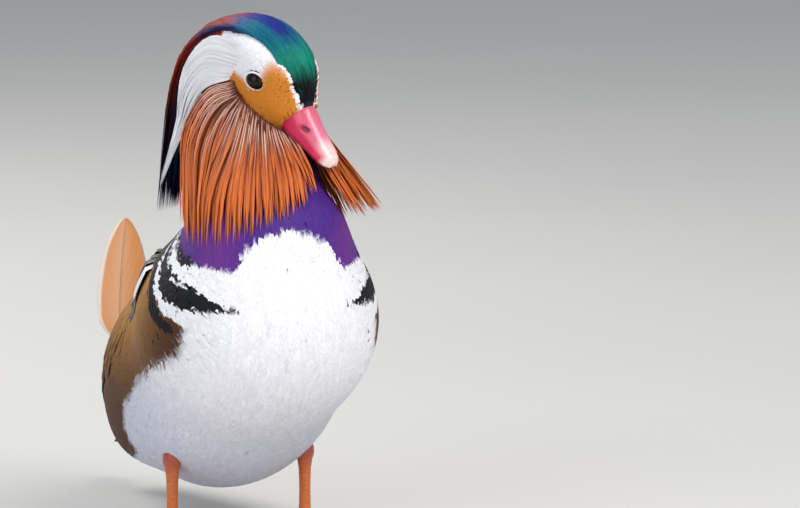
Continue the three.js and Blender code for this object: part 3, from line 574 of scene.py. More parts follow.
def noise_to_shade(group, start, end, noise, low, high):
    """The end of both groups: noise between low and high makes the colour darker or lighter by the share
    called Shade, and the noise itself is the height."""
    nodes, links = group.nodes, group.links
    shade = nodes.new("ShaderNodeMapRange")
    shade.inputs["From Min"].default_value = low
    shade.inputs["From Max"].default_value = high
    links.new(noise.outputs["Fac"], shade.inputs["Value"])
    for limit, kind in (("To Min", "SUBTRACT"), ("To Max", "ADD")):
        links.new(math_node(nodes, links, kind, 1.0, start.outputs["Shade"]), shade.inputs[limit])
    tinted = nodes.new("ShaderNodeMix")
    tinted.data_type = "RGBA"
    tinted.blend_type = "MULTIPLY"
    tinted.inputs["Factor"].default_value = 1
    links.new(start.outputs["Color"], tinted.inputs["A"])
    links.new(shade.outputs["Result"], tinted.inputs["B"])
    links.new(tinted.outputs["Result"], end.inputs["Color"])
    links.new(noise.outputs["Fac"], end.inputs["Height"])
    return group


def barb_group():
    """Fine barbs that run outwards and forwards from a feather's shaft, with a slight change of shade from
    feather to feather. It reads the feather's own map and puts out a colour and a height."""
    group, start, end = new_group(
        "barbs",
        [
            ("Color", "NodeSocketColor", (1, 1, 1, 1)),
            ("Vector", "NodeSocketVector", None),
            ("Count", "NodeSocketFloat", 14.0),
            ("Slant", "NodeSocketFloat", 0.6),
            ("Shade", "NodeSocketFloat", 0.2),
        ],
        [("Color", "NodeSocketColor"), ("Height", "NodeSocketFloat")],
    )
    nodes, links = group.nodes, group.links
    split = nodes.new("ShaderNodeSeparateXYZ")
    links.new(start.outputs["Vector"], split.inputs[0])
    inside = math_node(nodes, links, "FRACT", split.outputs["X"])
    off = math_node(nodes, links, "ABSOLUTE", math_node(nodes, links, "SUBTRACT", inside, 0.5))
    slanted = math_node(nodes, links, "MULTIPLY", off, start.outputs["Slant"])
    along = math_node(nodes, links, "SUBTRACT", split.outputs["Y"], slanted)
    join = nodes.new("ShaderNodeCombineXYZ")
    links.new(math_node(nodes, links, "MULTIPLY", along, start.outputs["Count"]), join.inputs["Y"])
    links.new(math_node(nodes, links, "MULTIPLY", split.outputs["X"], 1.7), join.inputs["X"])
    noise = nodes.new("ShaderNodeTexNoise")
    noise.inputs["Scale"].default_value = 1.0
    noise.inputs["Detail"].default_value = 3.0
    links.new(join.outputs[0], noise.inputs["Vector"])
    return noise_to_shade(group, start, end, noise, 0.3, 0.7)


def grain_group():
    """Fine grain in the object's own space: a colour that varies by a share, and a height."""
    group, start, end = new_group(
        "grain",
        [
            ("Color", "NodeSocketColor", (1, 1, 1, 1)),
            ("Vector", "NodeSocketVector", None),
            ("Scale", "NodeSocketFloat", 400.0),
            ("Shade", "NodeSocketFloat", 0.15),
        ],
        [("Color", "NodeSocketColor"), ("Height", "NodeSocketFloat")],
    )
    nodes, links = group.nodes, group.links
    noise = nodes.new("ShaderNodeTexNoise")
    noise.inputs["Detail"].default_value = 4.0
    links.new(start.outputs["Vector"], noise.inputs["Vector"])
    links.new(start.outputs["Scale"], noise.inputs["Scale"])
    return noise_to_shade(group, start, end, noise, 0.25, 0.75)


EFFECTS = {"barbs": barb_group, "grain": grain_group}
FINISHES = {}


def finish_of(name, group, values, roughness, bump, source="vane", tint=None, **numbers):
    """A material whose colour is each point's own, or one plain colour, varied by a shader group, with its
    relief. The group reads the feather's own map or the object's space, and numbers set the shader's plain
    sockets."""
    if name in FINISHES:
        return FINISHES[name]
    made = FINISHES[name] = bpy.data.materials.new(f"{name}_finish")
    made.use_nodes = True
    nodes, links = made.node_tree.nodes, made.node_tree.links
    shader = nodes["Principled BSDF"]
    effect = nodes.new("ShaderNodeGroup")
    effect.node_tree = bpy.data.node_groups.get(group) or EFFECTS[group]()
    if tint is None:
        own = nodes.new("ShaderNodeAttribute")
        own.attribute_name = "tint"
        links.new(own.outputs["Color"], effect.inputs["Color"])
    else:
        effect.inputs["Color"].default_value = (*tint, 1)
    if source == "object":
        links.new(nodes.new("ShaderNodeTexCoord").outputs["Object"], effect.inputs["Vector"])
    else:
        flat = nodes.new("ShaderNodeUVMap")
        flat.uv_map = source
        links.new(flat.outputs["UV"], effect.inputs["Vector"])
    for label, value in values.items():
        effect.inputs[label].default_value = value
    links.new(effect.outputs["Color"], shader.inputs["Base Color"])
    shader.inputs["Roughness"].default_value = roughness
    for label, value in numbers.items():
        shader.inputs[label.replace("_", " ")].default_value = value
    relief = nodes.new("ShaderNodeBump")
    relief.inputs["Distance"].default_value = bump / 1000
    links.new(effect.outputs["Height"], relief.inputs["Height"])
    links.new(relief.outputs["Normal"], shader.inputs["Normal"])
    return made


def place_piece(made, slot, *nodes):
    """Lets a piece move with the body and hides the solids that it stands for, if any. Its slot is not used.
    """
    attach(made, "root")
    if nodes:
        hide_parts(*nodes)
    return made


# Markings, from places along the spine and degrees off the back's middle line
FLANK_EDGE = (
    [0.16, 0.30, 0.333, 0.398, 0.438, 0.478, 0.568, 0.62, 0.633, 0.67],
    [132, 128, 119, 112, 113, 111, 118, 127, 131, 130],
)
FLANK_TOP = ([0.4, 0.5, 0.57, 0.63, 0.7], [56, 61, 70, 80, 88])
FLANK_ALONG = (0.05, 0.72)
CHEST_EDGE = ([0, 70, 100, 129, 146, 153, 163, 180], [0.80, 0.76, 0.736, 0.730, 0.727, 0.757, 0.770, 0.777])
# Each bar has two places along, a colour and the angle where it ends. Later bars cover earlier ones
BARS = (
    (0.641, 0.666, "black", 139),
    (0.666, 0.681, "white", 149),
    (0.681, 0.7135, "black", 154),
    (0.7055, 0.7085, "white", 134),
    (0.7135, 0.7285, "white", 149),
    (0.7285, 0.743, "black", 146),
    (0.7345, 0.7375, "white", 112),
)
BARS_ALONG = (0.666, 0.7345)
BARS_END = 149
BAR_TOP = ([0.655, 0.70, 0.745], [78, 80, 84])
BAR_BEND = 0.00006
BAR_TAPER = 0.016
BAR_POINT = 36


def body_tint(look, around, along, draw):
    """Colours over the body. Around runs from 0 at the back to 180 at the belly, along from the tail to the
    neck. The white turns to grey towards the tail as painted shade. The chest is purple above an edge that
    changes with around, the flank brown out to an edge that changes with along, painted lighter at the front
    and top and darker in shade lower down and towards the tail, and bars at set places along lie between
    them. They bend towards the back, and the black ones end in points."""
    off = off_middle(around)
    each = off.shape[-1:]
    off = off + draw.normal(0, 0.9, each)
    along = along + draw.normal(0, 0.001, each)
    # Painted shade: the white breast turns grey towards the tail
    tint = blend(look.belly, look.white, smooth(0.38, 0.66, along))
    back = blend(look.back, look.gloss, smooth(0.35, 0.15, along) * 0.8 + 0.1 * draw.random(each))
    # Painted light and shade: the flank is painted lighter at the front and top and in shade lower down and
    # towards the tail
    painted_light = smooth(0.30, 0.62, along) * smooth(128, 80, off) + 0.35 * smooth(100, 70, off)
    flank = blend(look.flank_painted_shade, look.flank, np.clip(painted_light, 0, 1))
    edge = np.interp(along, *FLANK_EDGE)
    on_flank = smooth(edge + 3, edge - 2.5, off) * (along < FLANK_ALONG[1]) * (along > FLANK_ALONG[0])
    tint = blend(tint, flank, on_flank)
    top = np.interp(along, *FLANK_TOP)
    tint = blend(tint, back, smooth(top + 3, top - 3, off))
    gloss = smooth(148, 116, off) * 0.8 + 0.35 * smooth(0.80, 0.76, along) * smooth(160, 140, off)
    chest = blend(look.purple, look.magenta, np.clip(gloss + 0.15 * draw.random(each), 0, 1))
    chest = blend(look.back, chest, smooth(50, 80, off))
    chest = blend(chest, look.rust, smooth(0.88, 0.93, along))
    chest = blend(chest, look.indigo, 0.6 * smooth(0.80, 0.745, along) * smooth(146, 120, off))
    tint = blend(tint, chest, (along > np.interp(off, *CHEST_EDGE)).astype(float))
    bar_at = along - BAR_BEND * np.maximum(118 - off, 0) ** 2
    inside = off > np.interp(along, *BAR_TOP)
    band = inside & (off < BARS_END) & (bar_at > BARS_ALONG[0]) & (bar_at < BARS_ALONG[1])
    tint = blend(tint, look.white, band.astype(float))
    for low, high, name, end in BARS:
        taper = BAR_TAPER * smooth(end - BAR_POINT, end, off) if name == "black" else 0
        here = inside & (off < end) & (bar_at > low + taper) & (bar_at < high - taper)
        tint = blend(tint, getattr(look, name), here.astype(float))
    return tint


# Half widths of the dark crown and of the crest's bed at places ahead of the eyes
CROWN_BORDER = ([-30, -14, -1, 12, 21.5, 28], [10, 11, 11, 10.5, 7, 3.6])
CREST_BORDER = ([-30, -14, -1, 12, 21.5, 28], [10.5, 11.5, 11.5, 11.3, 8.2, 4.4])


def over_brow(ahead, up):
    """Whether a place of the head lies above the crown's lower limit, which sinks towards the bill."""
    return up > 5 - 0.3 * np.maximum(ahead - 16, 0)


def head_tint(look, p, draw):
    """Colours over the head, from how far a point lies ahead of the eyes, aside and up: white, with an
    ochre cheek, a dark crown and a rusty throat."""
    ahead, left, up = in_head(p)
    off = np.abs(left)
    tint = np.broadcast_to(look.face, p.shape)
    noise = draw.normal(0, 0.5, ahead.shape)
    under_eye = smooth(2.2, -3.5, up - 0.1 * ahead + noise)
    before_eye = smooth(5, 12, ahead + noise) * smooth(23, 12, up + noise)
    from_crown = np.interp(ahead, *CROWN_BORDER) - off
    rim = smooth(1.2, 2.0, -from_crown) * smooth(29.0, 27.0, ahead - 0.28 * (up + 5))
    by_bill = np.where(up > -4, rim, smooth(28.0, 24.5, ahead))
    cheek = np.maximum(under_eye, before_eye) * smooth(-13, -7, ahead) * by_bill
    tint = blend(tint, look.ochre, np.clip(cheek * (1.0 + 0.4 * smooth(6, -6, up)), 0, 1))
    from_throat = up + 3.5 + 0.7 * np.minimum(ahead + 9, 0) + 0.33 * np.maximum(ahead + 9, 0)
    tint = blend(tint, look.rust, smooth(-1.0, -3.5, from_throat) * (ahead < 22))
    crown = (from_crown > 0) & over_brow(ahead, up)
    cap = blend(look.night, look.indigo, smooth(20, 8, ahead))
    return blend(tint, cap, crown.astype(float))


# Skin
SKIN_DEPTH = 2.2
FACE_DEPTH = 0.9
SKIN_CELL = 1.5
SKIN_ALONG = (-0.98, 1.98)
SKIN_OVER = (3, 177)
SPINE_STATIONS = 301
SIDE_WEIGHT = 0.2
BATCH = 4000


def skin_depth(p):
    """How deep the skin lies under the solids' surface: less on the head than on the body."""
    ahead, _, up = in_head(p)
    return lerp(SKIN_DEPTH, FACE_DEPTH, smooth(-26, -14, up + 0.25 * ahead))


def nearest_on_body(p):
    """The angle around and the place along the spine of points near the body, from the ring that passes
    closest."""
    along = np.linspace(0, 1, SPINE_STATIONS)
    middle, ahead = spine_at(along)
    best = np.zeros(len(p), int)
    for part in np.array_split(np.arange(len(p)), max(len(p) // BATCH, 1)):
        apart = p[part][:, None] - middle[None]
        score = np.abs((apart * ahead[None]).sum(-1)) + SIDE_WEIGHT * np.linalg.norm(apart, axis=-1)
        best[part] = score.argmin(1)
    middle, ahead = middle[best], ahead[best]
    left = unit(np.array([1.0, 0, 0]) - ahead * ahead[:, :1])
    up = np.cross(ahead, left)
    around = np.degrees(np.arctan2(((p - middle) * left).sum(1), ((p - middle) * up).sum(1)))
    return around, along[best]


def build_skin(look, sizes):
    """One closed skin from two forms, each a grid of angles around and places along. They are merged, and
    every point is then moved square to the joined surface to the skin's depth under it."""
    draw = np.random.default_rng(sizes.seed)
    steps = np.linspace(*SKIN_ALONG, 150)
    around = np.linspace(-180, 180, 96, endpoint=False)
    body = on_body(around[None], steps[:, None], -1.0)
    over = np.linspace(*SKIN_OVER, 60)
    head = on_head(around[None], over[:, None], -1.0)
    finish = finish_of("skin", "grain", {"Scale": 900.0, "Shade": 0.18}, 0.85, 0.4, "object")
    first = loft("skin", body, finish)
    second = loft("skin_head", head, finish)
    both = [first, second]
    with bpy.context.temp_override(
        active_object=first, object=first, selected_objects=both, selected_editable_objects=both
    ):
        bpy.ops.object.join()
    merge = first.modifiers.new("merge", "REMESH")
    merge.mode = "VOXEL"
    merge.voxel_size = SKIN_CELL / 1000
    merge.use_smooth_shade = True
    shown = first.evaluated_get(bpy.context.evaluated_depsgraph_get())
    mesh = bpy.data.meshes.new_from_object(shown)
    first.modifiers.clear()
    first.data = mesh
    points = np.empty(len(mesh.vertices) * 3)
    mesh.vertices.foreach_get("co", points)
    points = points.reshape(-1, 3) * 1000 - SHIFT
    points = settle(points, -skin_depth(points), 4)
    mesh.vertices.foreach_set("co", to_frame(points).astype(np.float32).ravel())
    around, along = nearest_on_body(points)
    tint = body_tint(look, around, along, draw)
    on_face = head_field(points) < body_field(points)
    tint = np.where(on_face[:, None], head_tint(look, points, draw), tint)
    put_tint(mesh, tint)
    mesh.update()
    return place_piece(first, "body_plumage", "torso", "neck", "head")


# Body coat
CONTOUR = np.array([0, 0.25, 0.55, 0.86, 1])
CONTOUR_WIDE = np.array([0, 0.7, 1, 0.72, 0])
COAT_GAPS = ([0, 0.5, 0.63, 0.65, 0.74, 0.76, 1], [1.25, 1.05, 1, 0.82, 0.82, 0.9, 0.75])
COAT_END = 0.95
COAT_LENGTHS = ([0, 0.3, 0.6, 0.76, 0.95], [10, 9.5, 8, 6, 4.5])
COAT_WIDTHS = ([0, 0.6, 0.9], [1.35, 1.3, 1.05])
TINT_AT = np.array([0.3, 0.4, 0.6, 0.82, 0.95])
NECK_FROM, CHEST_FROM, RUMP_TO = 0.78, 0.56, 0.2
SWIRL_DEGREES = 1.05
SPINE_LENGTH = np.linalg.norm(np.diff(line_through(SPINE, FINE), axis=0), axis=1).sum()


def rows_of(gap_at, start, end, ring, length, draw):
    """Staggered rows: each row's angles are spread evenly round its ring, turned by half a gap in every
    second row."""
    rows = []
    place = start
    while place < end:
        rows.append(place)
        place += gap_at(place) / length
    rows = np.array(rows)
    trial = np.linspace(-180, 180, 25)
    girth = np.linalg.norm(np.diff(ring(trial[None], rows[:, None]), axis=1), axis=-1).sum(1)
    counts = np.maximum((girth / np.array([gap_at(r) for r in rows])).astype(int), 3)
    around = [((np.arange(n) + 0.5 * (j % 2)) / n * 360 - 180) for j, n in enumerate(counts)]
    around = np.concatenate(around) + draw.normal(0, 0.13, counts.sum()) * 360 / np.repeat(counts, counts)
    gaps = np.repeat([gap_at(r) for r in rows], counts)
    along = np.repeat(rows, counts) + draw.normal(0, 0.2, counts.sum()) * gaps / length
    return around, along


def coat_length(off, along):
    """The length of a body feather: short on the neck, longer on the flank and the rump."""
    plain = np.interp(along, *COAT_LENGTHS)
    on_flank = smooth(128, 112, off) * smooth(0.68, 0.6, along)
    return plain * (1 + 1.15 * on_flank * smooth(50, 64, off))


def build_coat(look, sizes):
    """The body's contour feathers: each lies along the spine's own direction over the body's surface, its
    root under the surface and its tip just over it, in pieces by region. The flank's feathers are raised
    over the wing, and those of the bars turn round the body."""
    draw = np.random.default_rng(sizes.seed + 1)
    gap = sizes.coat_gap
    around, along = rows_of(
        lambda place: gap * float(np.interp(place, *COAT_GAPS)),
        0.0,
        COAT_END,
        lambda a, s: on_body(a, s, 0.0),
        SPINE_LENGTH,
        draw,
    )
    off = off_middle(around)
    root = on_body(around, along, 0.0)
    keep = head_field(root) > 1.5
    around, along, off, root = around[keep], along[keep], off[keep], root[keep]
    count = len(around)
    long = coat_length(off, along) * (1 + 0.12 * draw.normal(0, 1, count))
    top = np.interp(along, *FLANK_TOP)
    on_flank = smooth(130, 118, off) * smooth(top - 4, top + 4, off)
    on_flank = on_flank * smooth(0.68, 0.48, along) * smooth(0.04, 0.32, along)
    tip_height = 0.6 + (0.3 + 2.7 * smooth(92, 66, off)) * on_flank + 0.15 * draw.random(count)
    swirl = 0.8 * smooth(72, 96, off) * smooth(158, 136, off)
    swirl = swirl * smooth(0.6, 0.66, along) * smooth(0.76, 0.735, along)
    long = long * (1 + 0.45 * swirl)
    side = np.sign((around + 180) % 360 - 180 + 1e-9)
    turn = draw.normal(0, 3.5, count)
    t = CONTOUR[:, None]
    height = -SKIN_DEPTH - 0.2 + (tip_height + SKIN_DEPTH + 0.2) * rise_of(t / 0.55) - 0.12 * t**4
    ahead = along - t * (1 - swirl) * long / SPINE_LENGTH
    bend = around + turn * t * 0.5 * long / 8 + side * t * swirl * long * SWIRL_DEGREES
    line = on_body(np.broadcast_to(bend, ahead.shape), ahead, height)
    out = slope_of(whole_field, line)
    wide = CONTOUR_WIDE[:, None] * gap * np.interp(along, *COAT_WIDTHS) * (1 + 0.7 * on_flank)
    wide = wide * (1 + swirl * (1 - swirl) - 0.3 * swirl)
    near = TINT_AT[:, None] * np.ones(count)
    tint = body_tint(look, lerp(around, bend[-1], near), lerp(along, ahead[-1], near), draw)
    tint = np.clip(tint * (1 + 0.035 * draw.normal(0, 1, (count, 1))), 0, 1)[:, None]
    # Painted shade: each feather is darker at its root, under the feather above, and slightly lighter at its
    # tip
    shade = np.linspace(0.92, 1.02, len(CONTOUR))[:, None, None, None]
    roots = on_patch(np.stack([around % 360 / 360, along], 1), 0.96)
    finish = finish_of(
        "body_feathers", "barbs", {"Count": 9.0, "Shade": 0.12}, 0.6, 0.12, Specular_IOR_Level=0.25
    )
    belly = off > 90
    left = around % 360 < 180
    chest = (along <= NECK_FROM) & (along > CHEST_FROM)
    trunk = (along <= CHEST_FROM) & (along > RUMP_TO)
    regions = {
        "coat_neck": along > NECK_FROM,
        "coat_breast_left": chest & belly & left,
        "coat_breast_right": chest & belly & ~left,
        "coat_shoulders": chest & ~belly,
        "coat_belly_left": trunk & belly & left,
        "coat_belly_right": trunk & belly & ~left,
        "coat_back": trunk & ~belly,
        "coat_rump": along <= RUMP_TO,
    }
    for name, pick in regions.items():
        slot = "neck_plumage" if name == "coat_neck" else "body_plumage"
        made = grow(
            name,
            line[:, pick],
            out[:, pick],
            wide[:, pick],
            0.07,
            finish,
            shade * tint[:, :, pick],
            roots[pick],
            draw,
            camber=0.12,
        )
        place_piece(made, slot)


# Face coat
EYE = {"ahead": 4.0, "up": 3.8, "size": (5.7, 5.3, 4.95), "sunk": 2.5, "forward": 0.32, "clear": 4.9}
FACE_OVER = (5, 174)
HEAD_RADIUS = 20
DEGREES = 57.3


def eye_surface(side):
    """The point of the face that the eye looks out from, and the face's direction there."""
    start = head_point(EYE["ahead"], 0, EYE["up"])
    at = reach(head_field, start[None], HEAD[1][None] * side, 0.0)[0]
    return at, unit(slope_of(head_field, at[None])[0] + HEAD[0] * EYE["forward"])


# Sections of the upper bill: ahead, the ridge's height, the edge's height and the half width
BILL = np.array(
    [
        (18, 3.6, -10, 7),
        (24, 3.4, -11, 8.6),
        (29.5, 2.2, -11.8, 8.7),
        (35, -0.8, -12.3, 8),
        (41, -3.9, -12.8, 7.2),
        (46.5, -6.4, -13.4, 6.8),
        (50.5, -8, -14, 6.2),
        (53.8, -9.7, -14.6, 4.6),
        (55.6, -12.2, -14.9, 1.9),
    ],
    float,
)


def in_bill(p, grown=0.0):
    """Whether points lie inside the bill, from the ellipse of its section at their place."""
    ahead, left, up = in_head(p)
    top, edge, half = (np.interp(ahead, BILL[:, 0], BILL[:, i]) for i in (1, 2, 3))
    low = edge - 3
    middle, high = (top + low) / 2, (top - low) / 2
    return (ahead > 21) & ((left / (half + grown)) ** 2 + ((up - middle) / (high + grown)) ** 2 < 1)


def build_face(look, sizes):
    """Tiny feathers over the head, which lie backwards from the bill over a grid of rings round the head."""
    draw = np.random.default_rng(sizes.seed + 2)
    gap = sizes.face_gap
    degrees = math.degrees(gap / HEAD_RADIUS)
    around, over = rows_of(
        lambda _: degrees, *FACE_OVER, lambda a, s: on_head(a, s, 0.0) / HEAD_RADIUS * DEGREES, 1, draw
    )
    root = on_head(around, over, 0.0)
    long = 3.0 + 0.5 * draw.normal(0, 1, len(around))
    t = CONTOUR[:, None]
    height = -FACE_DEPTH - 0.15 + (FACE_DEPTH + 0.4) * rise_of(t / 0.5)
    height = height + 0.06 * draw.random(len(around))
    radius = np.linalg.norm(root - HEAD_CENTRE, axis=1)
    line = on_head(
        np.broadcast_to(around, (len(t), len(around))), over - t * np.degrees(long / radius), height
    )
    ahead, left, up = in_head(root)
    under_crest = (np.abs(left) < np.interp(ahead, *CREST_BORDER)) & over_brow(ahead, up)
    keep = (body_field(root) > -2) & ~in_bill(line).any(0) & ~under_crest
    for _, side in SIDES:
        at, _ = eye_surface(side)
        keep &= (np.linalg.norm(line - at, axis=-1) > EYE["clear"]).all(0)
    line, root, around, over = line[:, keep], root[keep], around[keep], over[keep]
    out = slope_of(whole_field, line)
    tint = head_tint(look, root, draw) * (1 + 0.04 * draw.normal(0, 1, (len(root), 1)))
    roots = on_patch(np.stack([around % 360 / 360, over / 180], 1), 0.96)
    finish = finish_of(
        "face_feathers", "barbs", {"Count": 6.0, "Shade": 0.06}, 0.62, 0.05, Specular_IOR_Level=0.25
    )
    wide = CONTOUR_WIDE[:, None] * gap * 1.45
    tint = np.clip(tint, 0, 1)
    made = grow("coat_face", line, out, wide, 0.05, finish, tint, roots, draw, camber=0.1, lean=0.2)
    place_piece(made, "face_plumage")


# Ruff: roots ahead of the eyes, aside and up, and the places that the first columns pass on each side
RUFF_ROOTS = (
    (-8, 16, -4.5),
    (-6, 16, -6.5),
    (-3, 16, -8),
    (1.5, 16, -9),
    (7, 15.5, -9.8),
    (14, 13.5, -10.8),
    (20.5, 10, -12),
    (24, 4.5, -13.5),
)
RUFF_SIDE = {
    "right": (
        ((-19, -10, 227), (-30, -7, 210)),
        ((-20, -15, 225), (-31, -14, 208)),
        ((-20, -21, 221), (-31, -24, 205))
    ),
    "left": (((12, 8, 226), (22, 15, 208)), ((14, 5, 224), (27, 10, 206)), ((17, 1, 221), (32, 3, 205))),
}
RUFF_TIPS = {
    "right": (
        (-42, -36, 164),
        (-44, -46, 158),
        (-42, -52, 155),
        (-36, -58, 153),
        (-28, -69, 157),
        (-15, -75, 164),
        (3, -74, 171),
        (18, -66, 181),
    ),
    "left": (
        (27, 16, 168),
        (38, 2, 163),
        (46, -12, 160),
        (53, -24, 163),
        (58, -36, 166),
        (56, -56, 169),
        (43, -62, 167),
        (33, -63, 178),
    ),
}
RUFF_BULGE = {"right": (6.5, 1), "left": (4, 0)}
# Tiers of plumes: start, end, height and share of the count
HACKLE_TIERS = (
    (0.2, 0.98, -1.5, 0.26),
    (0.08, 0.84, -1.1, 0.24),
    (0.0, 0.6, -0.9, 0.2),
    (0.03, 1.0, -0.2, 0.09),
    (0.0, 0.9, 0.2, 0.085),
    (0.0, 0.66, 0.5, 0.05),
)
FIRST_BRIGHT_TIER = 3


def fan_of(columns):
    """A fan of plumes from columns of places, roots first: smooth lines across join the columns, and a
    smooth line down crosses those."""
    columns = np.array(columns, float)

    def fan(across, down):
        across = np.clip(across, 0, 1)
        places = np.stack([line_through(columns[:, k], across) for k in range(columns.shape[1])])
        return line_through(places, down)

    return fan


def ruff_fan(name):
    """The fan of one side of the ruff, from the cheek's border to the tips over the chest."""
    bulge, push = RUFF_BULGE[name]
    side = dict(SIDES)[name]
    columns = []
    for i, ((ahead, left, up), tip) in enumerate(zip(RUFF_ROOTS, RUFF_TIPS[name])):
        start = settle(head_point(ahead, side * left, up)[None], 0.4)
        end = at_least(np.array([tip], float), 1.5)
        if i < len(RUFF_SIDE[name]):
            passed = zip(RUFF_SIDE[name][i], (2, 4))
            near, far = (at_least(np.array([place], float), height) for place, height in passed)
        else:
            near, far = (raised(start, end, t, bulge * h, push) for t, h in ((0.16, 0.6), (0.4, 0.95)))
        low = raised(far, end, 0.5, bulge, push)
        columns.append(np.concatenate([start, near, far, low, end]))
    return fan_of(columns)


def raised(start, end, t, height, push):
    """A place on the way between two points, pushed outwards and lifted off the bird by a height."""
    p = lerp(start, end, t)
    return at_least(p + slope_of(whole_field, p) * push, height)


def plume_lines(fan, tiers, count, draw, rows, spread=0.012, lift=0.5):
    """Plumes over a fan in tiers of a start, an end, a height and a share of the count. Each has its own
    place across, its own length and lift, and its root goes under the one above. Returns the lines and each
    plume's place."""
    lines, places = [], []
    t = np.linspace(0, 1, rows)[:, None]
    for tier, (first, last, height, share) in enumerate(tiers):
        n = int(count * share)
        across = (np.arange(n) + 0.5) / n + draw.normal(0, 0.18 / n, n)
        drift = draw.normal(0, spread, n)
        start = first + draw.normal(0, 0.012, n)
        end = last + draw.normal(0, 0.04, n)
        down = start + (np.minimum(end, 1.03) - start) * t
        p = np.empty((rows, n, 3))
        for i in range(rows):
            p[i] = fan(across + drift * t[i], down[i : i + 1])[0]
        out = slope_of(whole_field, p)
        stand = lerp(-1.8, height + draw.normal(0, lift, n), rise_of(t * 3))
        stand = stand + draw.normal(0, lift, n) * t**2 * 1.5
        p = p + out * stand[..., None]
        lines.append(p)
        places.append(np.stack([across, start, np.full(n, tier)], 1))
    return np.concatenate(lines, 1), np.concatenate(places)


# Half widths of plumes from the root to the tip
HACKLE_WIDE = np.array([0, 0.5, 0.75, 0.95, 1, 0.95, 0.8, 0.55, 0.28, 0])
BRIGHT_WIDE = np.array([0, 0.36, 0.46, 0.58, 0.74, 0.9, 1, 0.86, 0.5, 0])


def build_ruff(look, sizes):
    """Long pointed hackles on each side of the neck, rusty with pale shafts near the cheek and amber at the
    tips."""
    finish = finish_of(
        "ruff_plumes",
        "barbs",
        {"Count": 26.0, "Shade": 0.18, "Slant": 1.6},
        0.5,
        0.1,
        Specular_IOR_Level=0.3
    )
    rows = len(HACKLE_WIDE)
    for i, (name, _) in enumerate(SIDES):
        draw = np.random.default_rng(sizes.seed + 10 + i)
        line, places = plume_lines(ruff_fan(name), HACKLE_TIERS, sizes.hackles, draw, rows)
        line = at_least(line.reshape(-1, 3), 0.4).reshape(line.shape)
        keep = ~in_bill(line, 0.6).any(0)
        line, places = line[:, keep], places[keep]
        count = line.shape[1]
        t = np.linspace(0, 1, rows)[:, None, None]
        bright = places[:, 2] >= FIRST_BRIGHT_TIER
        down = places[:, 1] + t * (1 - places[:, 1]) * 0.9
        ridge = np.array([0, 0.25, 1, 0.25, 0, 0])[None, :, None] * np.ones((rows, 1, count))
        pale = ridge * smooth(0.56, 0.26, down + 0.05 * draw.normal(0, 1, count))
        pale = pale * np.where(bright, 1.0, 0.12)
        amber = np.clip(smooth(0.35, 0.85, down) + 0.1 * draw.normal(0, 1, count), 0, 1)
        base = blend(look.rust * 0.7, look.amber, amber)
        tint = blend(base, look.amber * 1.1, ridge * smooth(0.3, 0.6, down) * 0.6)
        tint = blend(tint, look.shaft, np.clip(pale * 1.1, 0, 1))
        # Painted shade: the lower tiers, under the bright ones, are darkened, most near their roots
        under_tier_shade = np.where(bright, 1.0, lerp(0.42, 0.8, smooth(0.4, 0.95, down)))[..., None]
        tint = tint * under_tier_shade * (1 + 0.1 * draw.normal(0, 1, (1, 1, count, 1)))
        wide = np.where(bright, BRIGHT_WIDE[:, None] * 0.95, HACKLE_WIDE[:, None] * 1.1)
        wide = wide * (1 + 0.15 * draw.random(count))
        roots = on_patch(np.clip(places[:, :2], 0, 1))
        made = grow(
            f"ruff_plumes_{name}",
            line,
            slope_of(whole_field, line),
            wide,
            0.22,
            finish,
            np.clip(tint, 0, 1),
            roots,
            draw,
            section=SHAFTED,
            camber=0.25,
            lean=0.8,
        )
        place_piece(made, "ruff_plumes", f"ruff_{name}")


# Crest: places ahead, aside and up, half width, and how far its borders bend down
CREST = np.array(
    [
        (28, 0, 4, 4.8, 1.2),
        (21.5, 0, 16, 9, 4.9),
        (12, 0, 23.5, 12, 5.6),
        (-1, 0, 26, 12, 5.0),
        (-14, 0, 25, 12, 5.5),
        (-29, 0, 17.5, 11, 4.5),
        (-45, 0, 1, 9.5, 3),
        (-53.5, 0, -20, 9, 2),
        (-52, -0.5, -42, 9.2, 1.5),
        (-43, -3, -65, 9.5, 1.5),
        (-26, -7, -102, 9.5, 0.6),
    ],
    float,
)
CREST_WIDE = np.array([0, 0.7, 1, 1, 0.9, 0.7, 0.4, 0])
CREST_LINE = head_point(CREST[:, 0], CREST[:, 1], CREST[:, 2])
CREST_TIERS = (
    (0.66, 1.0, -1.6, 0.12),
    (0.56, 1.0, -1.0, 0.12),
    (0.46, 0.93, -0.4, 0.13),
    (0.36, 0.8, 0.0, 0.13),
    (0.24, 0.66, 0.1, 0.13),
    (0.12, 0.48, 0.1, 0.13),
    (0.03, 0.34, 0.0, 0.12),
    (0.0, 0.2, -0.2, 0.12),
)


def crest_place(off, t, height):
    """A point of the crest: off from its middle line, -1 to 1, t from the bill to the tip. Its borders bend
    down by a power of off."""
    t = np.clip(t, 0, 1)
    step = 0.004
    middle = line_through(CREST_LINE, t)
    before, after = (line_through(CREST_LINE, np.clip(t + s, 0, 1)) for s in (-step, step))
    ahead = unit(after - before)
    up = -unit(np.cross(ahead, HEAD[1]))
    place = t * (len(CREST) - 1)
    half = np.interp(place, np.arange(len(CREST)), CREST[:, 3])
    drop = np.interp(place, np.arange(len(CREST)), CREST[:, 4])
    rise = height - drop * np.abs(off) ** 2.4
    return middle + HEAD[1] * (off * half)[..., None] + up * rise[..., None], up


